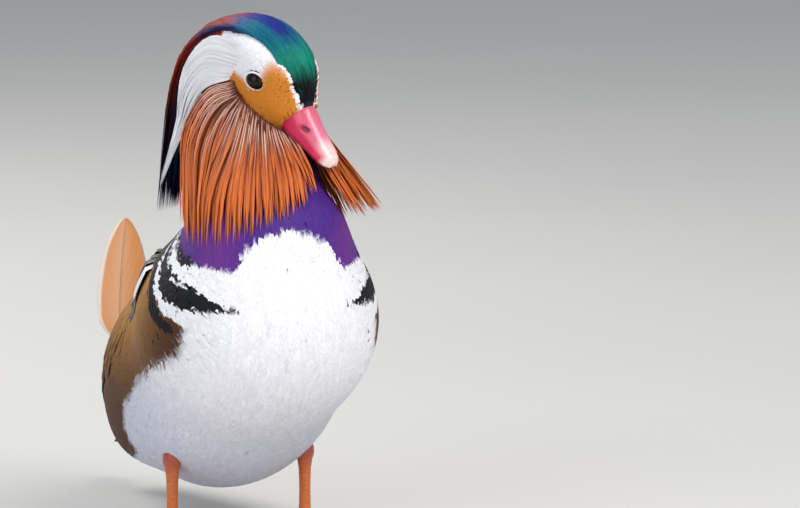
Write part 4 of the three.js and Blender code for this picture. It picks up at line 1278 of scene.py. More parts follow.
def crest_tint(look, off, t, draw):
    """Colours of the crest: night at the bill, emerald and teal over the fore crown with an indigo middle,
    then copper and maroon with navy borders that move to the middle further back, and a navy tip."""
    t = t + draw.normal(0, 0.012, np.shape(t))
    aside = np.abs(off)
    fore = blend(look.teal, look.emerald, smooth(0.32, 0.18, t))
    indigo = smooth(0.7, 0.3, aside) * smooth(0.22, 0.34, t) + smooth(0.44, 0.52, t)
    fore = blend(fore, look.indigo, np.clip(indigo, 0, 1))
    tint = blend(look.night, fore, smooth(0.07, 0.16, t))
    navy = blend(look.night, look.indigo, 0.3)
    rear = blend(look.copper, look.maroon, smooth(0.76, 0.88, t))
    border = lerp(smooth(0.86, 0.95, aside), smooth(0.5, 0.3, aside), smooth(0.60, 0.68, t))
    rear = blend(rear, navy, np.clip(border + smooth(0.86, 0.96, t), 0, 1))
    return blend(tint, rear, smooth(0.48, 0.52, t))


def build_crest(look, sizes):
    """Fine plumes from the bill's root over the crown and down behind the neck, in overlapping tiers, over
    a core that follows the same form."""
    draw = np.random.default_rng(sizes.seed + 20)
    rows = len(CREST_WIDE)
    t = np.linspace(0, 1, rows)[:, None]
    lines, outs, offs, starts, spans = [], [], [], [], []
    for first, last, height, share in CREST_TIERS:
        n = int(sizes.crest_plumes * share)
        off = np.clip((np.arange(n) + 0.5) / n * 2 - 1 + draw.normal(0, 0.03, n), -1, 1)
        off = off * lerp(1.0, 0.96, draw.random(n))
        start = first + draw.uniform(-0.04, 0.06, n)
        end = np.minimum(last + draw.normal(0, 0.03, n), 1.0)
        place = start + (end - start) * t
        stand = lerp(-1.2, height + draw.normal(0, 0.25, n), rise_of(t * 2.5))
        p, up = crest_place(np.broadcast_to(off * (1 - 0.1 * t**2), place.shape), place, stand)
        lines.append(p)
        outs.append(unit(up + HEAD[1] * (off[None, :, None] * 0.9)))
        offs.append(off)
        starts.append(start)
        spans.append(end - start)
    line, out = np.concatenate(lines, 1), np.concatenate(outs, 1)
    off, start, span = (np.concatenate(x) for x in (offs, starts, spans))
    keep = ~in_bill(line[1:]).any(0)
    line, out, off, start, span = line[:, keep], out[:, keep], off[keep], start[keep], span[keep]
    place = start + span * np.linspace(0, 1, rows)[:, None]
    tint = crest_tint(look, off[None], place, draw)[:, None]
    tint = tint * (1 + 0.15 * draw.normal(0, 1, (1, 1, len(off), 1)))
    roots = on_patch(np.stack([off / 2 + 0.5, np.clip(start, 0, 1)], 1))
    finish = finish_of(
        "crest_plumes",
        "barbs",
        {"Count": 18.0, "Shade": 0.25, "Slant": 1.2},
        0.5,
        0.06,
        Specular_IOR_Level=0.12
    )
    made = grow(
        "crest_plumes",
        line,
        out,
        CREST_WIDE[:, None] * 1.3,
        0.2,
        finish,
        np.clip(tint, 0, 1),
        roots,
        draw,
        section=SHAFTED,
        camber=0.2,
        lean=0.5,
    )
    place_piece(made, "crest_plumes", "crest")
    build_crest_core(look, draw, finish)


CORE_OVER = np.linspace(-1, 1, 13)
CORE_UNDER = np.array([0.8, 0.3, -0.3, -0.8])


def build_crest_core(look, draw, finish):
    """The crest's inside: sections of thirteen places over the crown and four under it, which thin towards
    the tip."""
    t = np.linspace(0.01, 0.93, 60)
    inside = smooth(0.1, 0.25, t) * (1 - 0.8 * smooth(0.62, 0.76, t))
    deep = -1.6 - 6.0 * inside
    narrow = 0.97 - 0.35 * smooth(0.8, 0.93, t)
    rings = [crest_place(off * narrow, t, np.full_like(t, -0.9))[0] for off in CORE_OVER]
    rings += [crest_place(off * narrow, t, deep)[0] for off in CORE_UNDER]
    rings = np.stack(rings, 1)
    off = np.concatenate([CORE_OVER, CORE_UNDER])
    tint = crest_tint(look, off[None], np.repeat(t[:, None], len(off), 1), draw)
    maps = {"vane": np.stack(np.broadcast_arrays(off[None] * 4, t[:, None] * 4), -1)}
    # Painted shade: the core under the plumes is made a fifth darker
    place_piece(loft("crest_core", rings, finish, tint * 0.8, maps=maps), "crest_plumes")


# Brow plumes: columns of places ahead of the eyes, aside and up
BROW = (
    ((-12, 14.6, 14), (-36, 13.4, 1), (-42.5, 13, -25), (-33.5, 14.2, -52), (-25, 20, -84)),
    ((-9, 15.4, 6), (-30, 15, -6), (-38, 14.6, -27), (-31.5, 15, -50), (-25, 20, -82)),
    ((-11, 15.8, -6), (-21, 16, -17), (-27, 16, -32), (-27.5, 15.5, -50), (-25, 20, -80)),
)
BROW_TIERS = ((0.42, 1.0, -0.2, 0.3), (0.24, 0.92, 0.3, 0.26), (0.1, 0.7, 0.8, 0.24), (0.0, 0.45, 0.9, 0.2))


def build_brows(look, sizes):
    """White plumes on each side that run back from over the eye, between the crest and the ruff."""
    finish = finish_of(
        "brow_plumes",
        "barbs",
        {"Count": 20.0, "Shade": 0.05, "Slant": 1.4},
        0.6,
        0.05,
        Specular_IOR_Level=0.25
    )
    rows = len(HACKLE_WIDE)
    for i, (name, side) in enumerate(SIDES):
        draw = np.random.default_rng(sizes.seed + 30 + i)
        columns = np.array([[head_point(a, side * b, c) for a, b, c in places] for places in BROW])
        for k, height in ((0, 0.8), (1, 1.8)):
            columns[:, k] = settle(columns[:, k], height)
        line, places = plume_lines(fan_of(columns), BROW_TIERS, sizes.brow_plumes, draw, rows, 0.01, 0.25)
        line = at_least(line.reshape(-1, 3), 0.1).reshape(line.shape)
        count = line.shape[1]
        tint = np.broadcast_to(look.face, (1, 1, count, 3)) * (1 - 0.1 * draw.random((1, 1, count, 1)))
        wide = HACKLE_WIDE[:, None] * (0.95 + 0.2 * draw.random(count))
        roots = on_patch(np.clip(places[:, :2], 0, 1))
        out = unit(slope_of(whole_field, line) + HEAD[1] * side)
        made = grow(
            f"brow_plumes_{name}", line, out, wide, 0.15, finish, tint, roots, draw, camber=0.15, lean=0.3
        )
        place_piece(made, "brow_plumes", f"brow_{name}")


# Wings and tail: half widths at places from a feather's root to its tip
FEATHER_WIDE = np.array([0, 0.45, 0.7, 0.9, 1, 1, 0.98, 0.9, 0.72, 0.42, 0])
FEATHER_AT = np.array([0, 0.06, 0.16, 0.3, 0.46, 0.62, 0.76, 0.87, 0.94, 0.98, 1])
LANCE_WIDE = np.array([0, 0.5, 0.76, 0.93, 1, 0.97, 0.88, 0.72, 0.5, 0.26, 0])
FEATHER_GRID = (len(FEATHER_AT), len(VANE))
SHOULDER = {"inner": 9, "outer": 88, "front": 0.69, "rear": 0.46}
# Tiers of feathers: count, start, end, half width, and height near the root and at the tip
SHOULDER_TIERS = (
    (9, 0.3, 1.15, 5.0, 0.8, 1.0),
    (9, 0.12, 0.82, 5.2, 1.6, 1.8),
    (9, -0.05, 0.5, 5.0, 3.0, 2.8),
)
WING = {"inner": 30, "outer": 62, "front": 0.47, "rear": 0.13}
WING_TIERS = (
    (6, 0.34, 1.04, 4.2, 1.4, 1.8),
    (7, 0.24, 0.74, 3.6, 2.5, 2.8),
    (7, 0.12, 0.52, 3.4, 2.9, 3.1),
    (7, 0.0, 0.32, 3.2, 3.3, 3.5),
)
PRIMARIES = {"count": 6, "half": 3.6, "tip": (16, 146, 44), "apart": 5.5}


def feather_map(side, inner, outer, front, rear):
    """A stretch of the body's surface on one side, from the inner border to the outer and from front to
    rear."""

    def place(across, down, height):
        return on_body(side * lerp(inner, outer, across), lerp(front, rear, down), height)

    return place


def tier_lines(place, tiers, draw):
    """Feathers laid over a stretch of the body in tiers, the rear ones lowest: each with a count, a start,
    an end, a half width, and heights near its root and at its tip."""
    lines, halves, orders = [], [], []
    t = FEATHER_AT[:, None]
    for order, (count, first, last, half, low, high) in enumerate(tiers):
        across = lerp(0.06, 0.94, (np.arange(count) + 0.5) / count) + draw.normal(0, 0.012, count)
        down = lerp(first, last + draw.normal(0, 0.015, count), t)
        height = np.where(t < 0.1, -0.8, lerp(low, high, t)) + 0.5 * (np.arange(count) % 2) * (t > 0.1)
        lines.append(place(across[None] + 0 * down, down, height))
        halves.append(np.full(count, half))
        orders.append(np.full(count, order))
    return np.concatenate(lines, 1), np.concatenate(halves), np.concatenate(orders)


def edge_shares(section, low, high):
    """How near each place of a feather's section is to its sides."""
    return smooth(low, high, np.abs(section[:, 0]))[None, :, None]


def put_feathers(name, line, half, finish, tint, draw, out=None, rise=0.32, wide=FEATHER_WIDE):
    """Broad feathers with a ridge for the shaft."""
    count = line.shape[1]
    out = slope_of(whole_field, line) if out is None else out
    roots = np.stack([0.03 + 0.94 * (np.arange(count) + 0.5) / count, np.full(count, 0.5)], 1)
    wide = wide[:, None] * half
    tint = np.clip(tint, 0, 1)
    return grow(name, line, out, wide, rise, finish, tint, roots, draw, section=VANE, camber=0.12)


def build_shoulders(look, sizes):
    """Dark glossy scapulars in three tiers. The outermost ones of the top tier are white with a black edge,
    and those beside them are black."""
    finish = finish_of(
        "wing_feathers", "barbs", {"Count": 34.0, "Shade": 0.16, "Slant": 0.9}, 0.42, 0.1, Coat_Weight=0.1
    )
    for i, (name, side) in enumerate(SIDES):
        draw = np.random.default_rng(sizes.seed + 40 + i)
        line, half, order = tier_lines(feather_map(side, **SHOULDER), SHOULDER_TIERS, draw)
        across = np.concatenate([(np.arange(n) + 0.5) / n for n, *_ in SHOULDER_TIERS])
        t = FEATHER_AT[:, None, None]
        white = ((across > 0.9) & (order == 2)).astype(float)[None, None] * smooth(0.02, 0.1, t)
        inner = smooth(0.25, 0.45, side * VANE[:, 0])[None, :, None]
        rim = np.maximum(inner, smooth(0.8, 0.92, t))
        gloss = (0.25 + 0.5 * draw.random(line.shape[1]))[None, None] * np.ones((*FEATHER_GRID, 1))
        tint = blend(look.back, look.gloss, gloss)
        tint = blend(tint, look.white, white * (1 - rim))
        beside = ((across > 0.8) & (across < 0.9)).astype(float)[None, None]
        tint = blend(tint, look.black, np.maximum(white * rim, beside))
        made = put_feathers(f"scapular_feathers_{name}", line, half, finish, tint, draw, wide=LANCE_WIDE)
        place_piece(made, "shoulder_feathers", f"scapulars_{name}")


def primary_lines(side):
    """The long flight feathers, which lie along the wing's rear and cross over the rump."""
    i = np.arange(PRIMARIES["count"])
    x, y, z = PRIMARIES["tip"]
    start = on_body(side * (52 + i * 0.8), 0.25, -0.5)
    second = on_body(side * (48 + i * 0.8), 0.14, 2.0 + i * 0.45)
    third = np.stack([side * (19 + i * 0.5), 106.0 - i, 60 + i * 0.8], 1)
    tip = np.stack([side * (x + i * 0.5), y - i * PRIMARIES["apart"], z + i * 0.9], 1)
    places = np.stack([start, second, third, tip])
    return line_through(places, np.repeat(FEATHER_AT[:, None], len(i), 1))


def build_wings(look, sizes):
    """Coverts in tiers over the flight feathers of the arm, whose green gloss ends in a white edge, and
    primaries with silvery edges."""
    finish = finish_of("wing_feathers", "barbs", {}, 0.4, 0.15)
    for i, (name, side) in enumerate(SIDES):
        draw = np.random.default_rng(sizes.seed + 50 + i)
        line, half, order = tier_lines(feather_map(side, **WING), WING_TIERS, draw)
        t = FEATHER_AT[:, None, None]
        arm = (order == 0).astype(float)[None, None] * np.ones((*FEATHER_GRID, 1))
        tint = blend(look.back, look.gloss, arm * 0.9 + 0.15 * draw.random(line.shape[1]))
        tint = blend(tint, look.white, arm * smooth(0.9, 0.95, t))
        long = primary_lines(side)
        silver = (
            edge_shares(VANE, 0.8, 1.0) * smooth(0.2, 0.4, t) * np.ones((len(FEATHER_AT), 1, long.shape[1]))
        )
        long_tint = blend(look.back, (0.45, 0.47, 0.5), silver)
        line = np.concatenate([line, long], 1)
        half = np.concatenate([half, np.full(long.shape[1], PRIMARIES["half"])])
        tint = np.concatenate([tint, long_tint], 2)
        made = put_feathers(f"wing_feathers_{name}", line, half, finish, tint, draw)
        place_piece(made, "wing_feathers", f"wing_{name}")


SAIL = {
    "half": 24.5, "root": (61, 0.27), "line": ((40, 62, 100), (40, 62, 124), (38, 60, 155)), "turn": -0.25
}


def build_sails(look, sizes):
    """The broad feather of each wing that stands over the back: sections along a smooth line, whose half
    width rises from the root, stays and rounds off to the tip. It is orange, with a cream rear edge."""
    finish = finish_of(
        "sail_feathers", "barbs", {"Count": 60.0, "Shade": 0.07, "Slant": 0.7}, 0.5, 0.25, Sheen_Weight=0.15
    )
    rows, columns = 70, 33
    for name, side in SIDES:
        points = np.array([(side * x, y, z) for x, y, z in SAIL["line"]], float)
        root = on_body(np.array([side * SAIL["root"][0]]), SAIL["root"][1], -6.0)
        t = rise_of(np.linspace(0, 1, rows))
        t = np.clip(t * 0.6 + np.linspace(0, 1, rows) * 0.4, 0, 1)
        line = line_through(np.concatenate([root, points]), t)
        ahead = unit(np.gradient(line, axis=0))
        out = np.array([side, SAIL["turn"], 0.0])
        out = unit(out - ahead * (ahead @ out)[:, None])
        width = SAIL["half"] * (0.3 + 0.7 * smooth(0, 0.4, t))
        width = width * (1 - np.clip((t - 0.5) / 0.5, 0, 1) ** 2) ** 0.6
        width = np.maximum(width, 0.15)
        across = np.linspace(-1, 1, columns)
        ridge = 0.9 * np.exp(-((across / 0.035) ** 2)) * (1 - 0.6 * t[:, None])
        bend = -1.6 * across**2 * (width / SAIL["half"])[:, None]
        body = 0.55 * (1 - across**4)
        side_way = np.cross(out, ahead)
        flat = line[:, None] + side_way[:, None] * (width[:, None] * across)[..., None]
        over = flat + out[:, None] * (bend + body + ridge)[..., None]
        under = flat + out[:, None] * (bend - body - ridge * 0.6)[..., None]
        rings = np.concatenate([over, under[:, -2:0:-1]], 1)
        place = np.concatenate([across, across[-2:0:-1]])
        rear = place * np.sign((side_way[rows // 2] @ np.array([0, 1.0, 0.0])))
        cream = smooth(0.75, 0.85, rear[None] + 0.12 * smooth(0.8, 1.0, t)[:, None])
        border = 0.8 * smooth(0.93, 0.99, np.abs(place))[None] * smooth(0.1, 0.4, t)[:, None]
        cream = np.maximum(cream, border)
        pale = 0.22 * np.exp(-(((place[None] - 0.1) / 0.4) ** 2)) * np.ones((rows, 1))
        warm = blend(look.sail, look.cream, pale)
        shaft = np.exp(-((place / 0.03) ** 2))[None] * np.ones((rows, 1)) * 0.35
        tint = blend(blend(warm, look.copper, shaft), look.cream, cream)
        maps = {"vane": np.stack(np.broadcast_arrays(place[None] / 2 + 0.5, t[:, None]), -1)}
        made = loft(f"sail_feather_{name}", rings, finish, tint, maps=maps)
        place_piece(made, "sail_feather", f"sail_{name}")


TAIL = {"pairs": 6, "half": 4.6, "root": (112, 43), "tip": (170, 28), "spread": 1.6, "step": 0.8}


def fanned(count, root, middle, tip):
    """Feathers fanned to both sides: for each, smooth lines from functions of its place give root, middle
    and tip."""
    i = np.arange(-count, count + 1).astype(float)
    places = np.stack([np.stack(np.broadcast_arrays(*part(i)), 1) for part in (root, middle, tip)])
    return line_through(places, np.repeat(FEATHER_AT[:, None], len(i), 1)), i


def build_tail(look, sizes):
    """Tail feathers that lie over one another from the middle outwards, and the coverts above and below."""
    draw = np.random.default_rng(sizes.seed + 70)
    (root_y, root_z), (tip_y, tip_z) = TAIL["root"], TAIL["tip"]
    finish = finish_of("wing_feathers", "barbs", {}, 0.4, 0.15)
    line, i = fanned(
        TAIL["pairs"],
        lambda i: (i * 1.1, root_y - 8, root_z - np.abs(i) * 0.6),
        lambda i: (
            i * 1.5, lerp(root_y, tip_y, 0.4), lerp(root_z, tip_z, 0.38) - np.abs(i) * TAIL["step"] * 0.9
        ),
        lambda i: (i * TAIL["spread"], tip_y - np.abs(i) * 1.9, tip_z - np.abs(i) * TAIL["step"]),
    )
    tint = (
        np.broadcast_to(look.back, (*FEATHER_GRID, len(i), 3))
        * (1 + 0.12 * draw.normal(0, 1, (1, 1, len(i), 1)))
    )
    tint = blend(tint, look.gloss, 0.35 * np.ones((*FEATHER_GRID, len(i))))
    flat = np.broadcast_to(np.array([0.0, 0.3, 1.0]), line.shape)
    made = put_feathers("tail_feathers", line, TAIL["half"], finish, tint, draw, out=flat)
    place_piece(made, "tail_feathers", "tail")
    for under in (False, True):
        build_coverts(look, draw, finish, under)


# Tiers of coverts: count, start, end, how far back the tips reach, and lift
COVERT_TIERS = ((9, 0.1, 0.95, 147, 0.4), (8, -0.15, 0.7, 134, 1.4), (8, -0.4, 0.4, 122, 2.3))


def build_coverts(look, draw, finish, under):
    """Coverts over or under the tail's root in three tiers, green-brown above and white below."""
    middle, (first, last), level = (180, (0.05, -0.4), 30.5) if under else (0, (0.14, -0.1), 41.5)
    lines, halves = [], []
    for count, start, end, reach_y, lift in COVERT_TIERS:
        i = (np.arange(count) + 0.5) / count * 2 - 1
        root = on_body(middle + i * 38, lerp(first, last, start), -0.6)
        second = on_body(middle + i * 34, lerp(first, last, (start + end) / 2), 1.2 + lift)
        z = level + (1 if under else -1) * (np.abs(i) * 3 - lift - (147 - reach_y) * 0.34)
        tip = np.stack([i * 11 * (-1 if under else 1), reach_y - np.abs(i) * 6, z], 1)
        places = np.stack([root, second, tip])
        lines.append(line_through(places, np.repeat(FEATHER_AT[:, None], count, 1)))
        halves.append(np.full(count, 5.0 if under else 4.2))
    line, half = np.concatenate(lines, 1), np.concatenate(halves)
    count = line.shape[1]
    base = look.white if under else look.back
    tint = np.broadcast_to(base, (*FEATHER_GRID, count, 3)) * (1 + 0.08 * draw.normal(0, 1, (1, 1, count, 1)))
    if not under:
        tint = blend(tint, look.gloss, 0.55 * np.ones((*FEATHER_GRID, count)))
    name, slot, node = (
        ("undertail_feathers", "undertail_plumage", "undertail")
        if under
        else ("tail_covert_feathers", "tail_coverts", "tail_coverts")
    )
    if under:
        finish = finish_of("undertail_feathers", "barbs", {"Count": 22.0, "Shade": 0.08}, 0.6, 0.2)
    out = np.broadcast_to(np.array([0.0, 0.35, -1.0 if under else 1.0]), line.shape)
    out = unit(out * 0.6 + slope_of(whole_field, line) * 0.6)
    place_piece(put_feathers(name, line, half, finish, tint, draw, out=out), slot, node)


# Eyes
def ball(at, size, axes, rings=28, corners=36):
    """Rings of a round or oval form: a sphere's points scaled along three directions."""
    over = np.linspace(0, math.pi, rings + 2)[1:-1, None]
    around = np.linspace(0, 2 * math.pi, corners, endpoint=False)[None]
    wide = np.sin(over)
    unit_ball = np.stack(np.broadcast_arrays(np.cos(over), wide * np.cos(around), wide * np.sin(around)), -1)
    poles = [at + axes[0] * size[0] * s for s in (1, -1)]
    return at + (unit_ball * size) @ axes, poles


def ring_round(at, out, long, high, thick, lean=HEAD[2], corners=72, section=14):
    """A ring of round section round an oval: two angles, one round the oval and one round the section."""
    along = unit(np.cross(lean, out))
    up = np.cross(out, along)
    a = np.linspace(0, 2 * math.pi, corners, endpoint=False)[:, None, None]
    b = np.linspace(0, 2 * math.pi, section, endpoint=False)[None, :, None]
    way = along * np.cos(a) * long + up * np.sin(a) * high
    points = at + way + unit(way) * np.cos(b) * thick + out * np.sin(b) * thick
    i, j = np.meshgrid(np.arange(corners), np.arange(section), indexing="ij")
    after_i, after_j = (i + 1) % corners, (j + 1) % section
    corner_pairs = ((i, j), (after_i, j), (after_i, after_j), (i, after_j))
    faces = np.stack([x * section + y for x, y in corner_pairs], -1)
    return points.reshape(-1, 3), faces.reshape(-1, 4)


LID = {"long": 5.15, "high": 4.4, "thick": 0.5, "lift": 0.2, "tint": (0.8, 0.8, 0.85)}


def build_eyes(look, sizes):
    """A dark glossy ball in each socket, with a thin pale ring of lid round it."""
    eye = bpy.data.materials.new("eye")
    eye.use_nodes = True
    nodes, links = eye.node_tree.nodes, eye.node_tree.links
    shader = nodes["Principled BSDF"]
    noise = nodes.new("ShaderNodeTexNoise")
    noise.inputs["Scale"].default_value = 600
    links.new(nodes.new("ShaderNodeTexCoord").outputs["Object"], noise.inputs["Vector"])
    ramp = nodes.new("ShaderNodeMix")
    ramp.data_type = "RGBA"
    ramp.inputs["A"].default_value = (*[c * 0.4 for c in look.iris], 1)
    ramp.inputs["B"].default_value = (*[c * 1.6 for c in look.iris], 1)
    links.new(noise.outputs["Fac"], ramp.inputs["Factor"])
    links.new(ramp.outputs["Result"], shader.inputs["Base Color"])
    shader.inputs["Roughness"].default_value = 0.05
    shader.inputs["Specular IOR Level"].default_value = 0.22
    lid = finish_of("lid", "grain", {"Scale": 1500.0, "Shade": 0.1}, 0.6, 0.08, "object", LID["tint"])
    for name, side in SIDES:
        at, out = eye_surface(side)
        centre = at - out * EYE["sunk"]
        rings, poles = ball(centre, np.array(EYE["size"]), HEAD)
        place_piece(loft(f"eyeball_{name}", rings, eye, poles=poles), "eye", f"eye_{name}")
        middle = at + out * LID["lift"]
        points, faces = ring_round(middle, out, LID["long"], LID["high"], LID["thick"])
        place_piece(put_mesh(f"lid_{name}", points, outward(points, faces), lid), "face_plumage")


# Bill
NAIL_START = 49.6
# The nostril's tint is painted shade in its dent
NOSTRIL = {"ahead": 35.5, "up": -4.9, "long": 2.6, "high": 1.0, "deep": 1.3, "tint": (0.05, 0.0, 0.01)}
ARCH_POINTS = 41
UNDER_POINTS = 13


def bill_rings(ahead, over_angles):
    """Sections of the upper bill: at each place ahead, an arch from one edge over the ridge to the other.
    The arch's height follows a power of the cosine, and its values run smoothly through the named
    sections."""
    t = np.interp(ahead, BILL[:, 0], np.linspace(0, 1, len(BILL)))
    curve = line_through(np.column_stack([BILL[:, 1], BILL[:, 2], BILL[:, 3]]), t)
    top, edge, half = (curve[:, k, None] for k in range(3))
    left = half * np.sin(over_angles)
    up = edge + (top - edge) * np.maximum(np.cos(over_angles), 0) ** 0.85
    return left, up, edge, half


def build_bill(look, sizes):
    """The upper bill, its nail, and the lower bill, as arches carried along the bill's middle line."""
    tinted = finish_of(
        "bill", "grain", {"Scale": 700.0, "Shade": 0.06}, 0.34, 0.1, "object", Coat_Weight=0.35
    )
    angles = np.linspace(-QUARTER, QUARTER, ARCH_POINTS)[None]
    for name, start, end, slot, node in (
        ("bill_horn", 19, NAIL_START, "bill", "bill_upper"),
        ("bill_tip", NAIL_START + 0.02, 55.6, "bill_nail", "bill_nail"),
    ):
        ahead = np.linspace(start, end, 60 if slot == "bill" else 26)
        ahead[1], ahead[-2] = start + 0.03, end - 0.03
        left, up, edge, half = bill_rings(ahead, angles)
        long = (ahead[:, None] - NOSTRIL["ahead"]) / NOSTRIL["long"]
        tall = (up - NOSTRIL["up"]) / NOSTRIL["high"]
        depth = np.exp(-((long**2 + tall**2) ** 2))
        left = left - np.sign(left) * depth * NOSTRIL["deep"]
        lip = 0.35 * np.exp(-(((np.abs(angles) - QUARTER) / 0.12) ** 2))
        left = left + np.sign(left) * lip
        under = np.linspace(1, -1, UNDER_POINTS)[None, 1:-1]
        low_left, low_up = under * half, edge + 0.3 + 0 * under
        left = np.concatenate([left, low_left], 1)
        up = np.concatenate([up, low_up], 1)
        rings = head_point(ahead[:, None] + 0 * left, left, up)
        flat = np.zeros((len(ahead), under.shape[1]))
        arch = np.broadcast_to(np.cos(angles), (len(ahead), ARCH_POINTS))
        high = smooth(0.35, 0.98, np.concatenate([arch, flat], 1))
        far = smooth(24, 50, ahead)[:, None]
        if slot == "bill":
            # Partly the bill's own paler ridge and partly a painted highlight: the top of the bill is paler,
            # more so towards the nail
            tint = blend(look.bill, look.ridge, high * (0.3 + 0.5 * far))
            tint = blend(tint, look.nail, high * smooth(42, NAIL_START, ahead)[:, None] * 0.8)
            # Painted shade: the nostril's dent is darkened to near black
            tint = blend(tint, NOSTRIL["tint"], np.concatenate([depth, flat], 1))
        else:
            # Partly own colour and partly painted highlight: the top of the nail's piece is paler
            nail = np.maximum(high * 0.8, smooth(NAIL_START, NAIL_START + 4, ahead)[:, None])
            tint = blend(blend(look.bill, look.ridge, 0.9 * high), look.nail, nail)
        place_piece(loft(name, rings, tinted, tint), slot, node)
    ahead = np.linspace(19, 53, 44)
    left, up, edge, half = bill_rings(ahead, angles)
    deep = 2.6 * (1 - ((ahead - 18) / 60) ** 2)[:, None]
    around = np.linspace(0, 2 * math.pi, 32, endpoint=False)[None]
    low = edge - 0.15 - deep / 2
    squared = np.sign(np.sin(around)) * np.abs(np.sin(around)) ** 0.6
    rings = head_point(ahead[:, None] + 0 * around, (half - 0.7) * np.cos(around), low + deep / 2 * squared)
    # Painted shade: the lower bill, under the upper one, is darkened a quarter of the way to night
    tint = blend(look.bill, look.night, 0.25 * np.ones(rings.shape[:2]))
    place_piece(loft("bill_under", rings, tinted, tint), "bill", "bill_lower")


# Legs
LEG = {"side": 35.4, "front": 0.0}
SHANK_SCALE, TOE_SCALE = 2.3, 1.9
# Sections of the shank: height, half width and half depth
SHANK = np.array(
    [
        (58, 6.2, 7),
        (52, 5, 5.8),
        (48, 4.0, 4.6),
        (45.2, 3.8, 4.4),
        (42.6, 4.6, 5),
        (40, 4.7, 5.1),
        (37, 3.9, 4.2),
        (32, 3.1, 3.6),
        (22, 2.8, 3.3),
        (13, 2.9, 3.4),
        (8.6, 3.6, 4.1),
        (5, 4.2, 4.8),
    ],
    float,
)
# Toes: turn in degrees, length, radius and the share that the web covers
TOES = (("inner", 27, 34, 2.5, 0.86), ("middle", -1, 42, 2.8, 0.9), ("outer", -27, 38, 2.5, 0.86))
TOE_JOINTS = {"inner": 2, "middle": 3, "outer": 4}
CLAW = {"long": 6.0, "radius": 1.3}


def tube(line, wide, high, across, up, corners=20):
    """Oval sections along a line: an angle round each section and a place along the line."""
    a = np.linspace(0, 2 * math.pi, corners, endpoint=False)[None, :, None]
    return line[:, None] + across * np.cos(a) * wide[:, None, None] + up * np.sin(a) * high[:, None, None]


def build_legs(look, sizes):
    """Scaled shanks with redder hocks, webbed toes with a pad under each joint, and claws."""
    skin = finish_of(
        "leg_skin", "grain", {"Scale": 520.0, "Shade": 0.16}, 0.45, 0.25, "object", Coat_Weight=0.1
    )
    horn = finish_of("claw", "grain", {"Scale": 600.0, "Shade": 0.15}, 0.35, 0.1, "object", look.claw)
    x_way, y_way = np.eye(3)[:2]
    for name, side in SIDES:
        z = np.linspace(5, 58, 150)
        place = np.interp(z, SHANK[::-1, 0], np.linspace(0, 1, len(SHANK)))
        wide = line_through(np.array([(w, d, 0) for _, w, d in SHANK[::-1]], float), place)
        line = np.stack([np.full_like(z, side * LEG["side"]), np.full_like(z, LEG["front"]), z], 1)
        wave = np.abs(np.sin(z * math.pi / SHANK_SCALE))
        scale = 0.14 * wave**0.5 - 0.1
        rings = tube(line, wide[:, 0] + scale, wide[:, 1] + scale, x_way, y_way, 26)
        round_it = np.ones((1, rings.shape[1]))
        red = np.exp(-(((z - 42) / 7) ** 2))[:, None] * round_it
        seam = 0.25 * (1 - wave**0.35)[:, None] * round_it
        tint = blend(blend(look.leg, look.hock, red), look.web, seam)
        place_piece(loft(f"shank_skin_{name}", rings, skin, tint), "leg_skin", f"shank_{name}")
        build_foot(look, name, side, skin, horn)


def build_foot(look, name, side, skin, horn):
    """One foot: three webbed toes forward, each a tube that swells over its joints, a small hind toe, and
    claws."""
    x_way, y_way, z_way = np.eye(3)
    heel = np.array([side * LEG["side"], LEG["front"] - 1, 0])
    ways = {}
    for toe, turn, long, radius, web in TOES:
        turn = math.radians(-turn * side)
        way = np.array([math.sin(turn), -math.cos(turn), 0])
        across = np.array([-way[1], way[0], 0])
        ways[toe] = (way, long, web)
        t = np.linspace(0, 1, 60)
        swell = 1 + 0.12 * np.cos(t * TOE_JOINTS[toe] * 2 * math.pi)
        end = np.where(t > 0.94, np.sqrt(np.maximum(1 - ((t - 0.94) / 0.07) ** 2, 0.05)), 1)
        r = radius * swell * lerp(1.08, 0.66, t) * end
        line = heel + way * (long * t)[:, None] + z_way * (r * 0.86 + 0.05)[:, None]
        rings = tube(line, r * 1.05, r * 0.86, across, z_way, 18)
        seam = 0.3 * (1 - np.abs(np.sin(t * long * math.pi / TOE_SCALE)) ** 0.35)[:, None]
        tint = blend(look.leg, look.web, seam * np.ones((1, rings.shape[1])))
        place_piece(loft(f"toe_{name}_{toe}", rings, skin, tint), "foot_skin", f"foot_{name}")
        put_claw(name, toe, heel + way * (long - 0.4), way, across, radius * 0.62, horn)
    back = heel + y_way
    t = np.linspace(0, 1, 24)
    line = back + np.stack([0 * t, lerp(3, 12.4, t), lerp(7.0, 3.0, t)], 1)
    r = lerp(1.9, 1.5, t)
    rings = tube(line, r, r, x_way, unit(np.array([0, 0.5, 1.0])), 14)
    place_piece(loft(f"toe_{name}_hind", rings, skin, np.broadcast_to(look.leg, rings.shape)), "foot_skin")
    put_claw(name, "hind", line[-1], y_way, x_way, 1.2, horn)
    rings, poles = ball(heel + z_way * 3.6, np.array([6.2, 5.0, 3.5]), np.eye(3)[[1, 0, 2]], 20, 24)
    made = loft(f"palm_{name}", rings, skin, np.broadcast_to(look.leg, rings.shape), poles)
    place_piece(made, "foot_skin")
    for first, second in (("inner", "middle"), ("middle", "outer")):
        build_web(look, name, heel, ways[first], ways[second], f"{first}_{second}", skin)


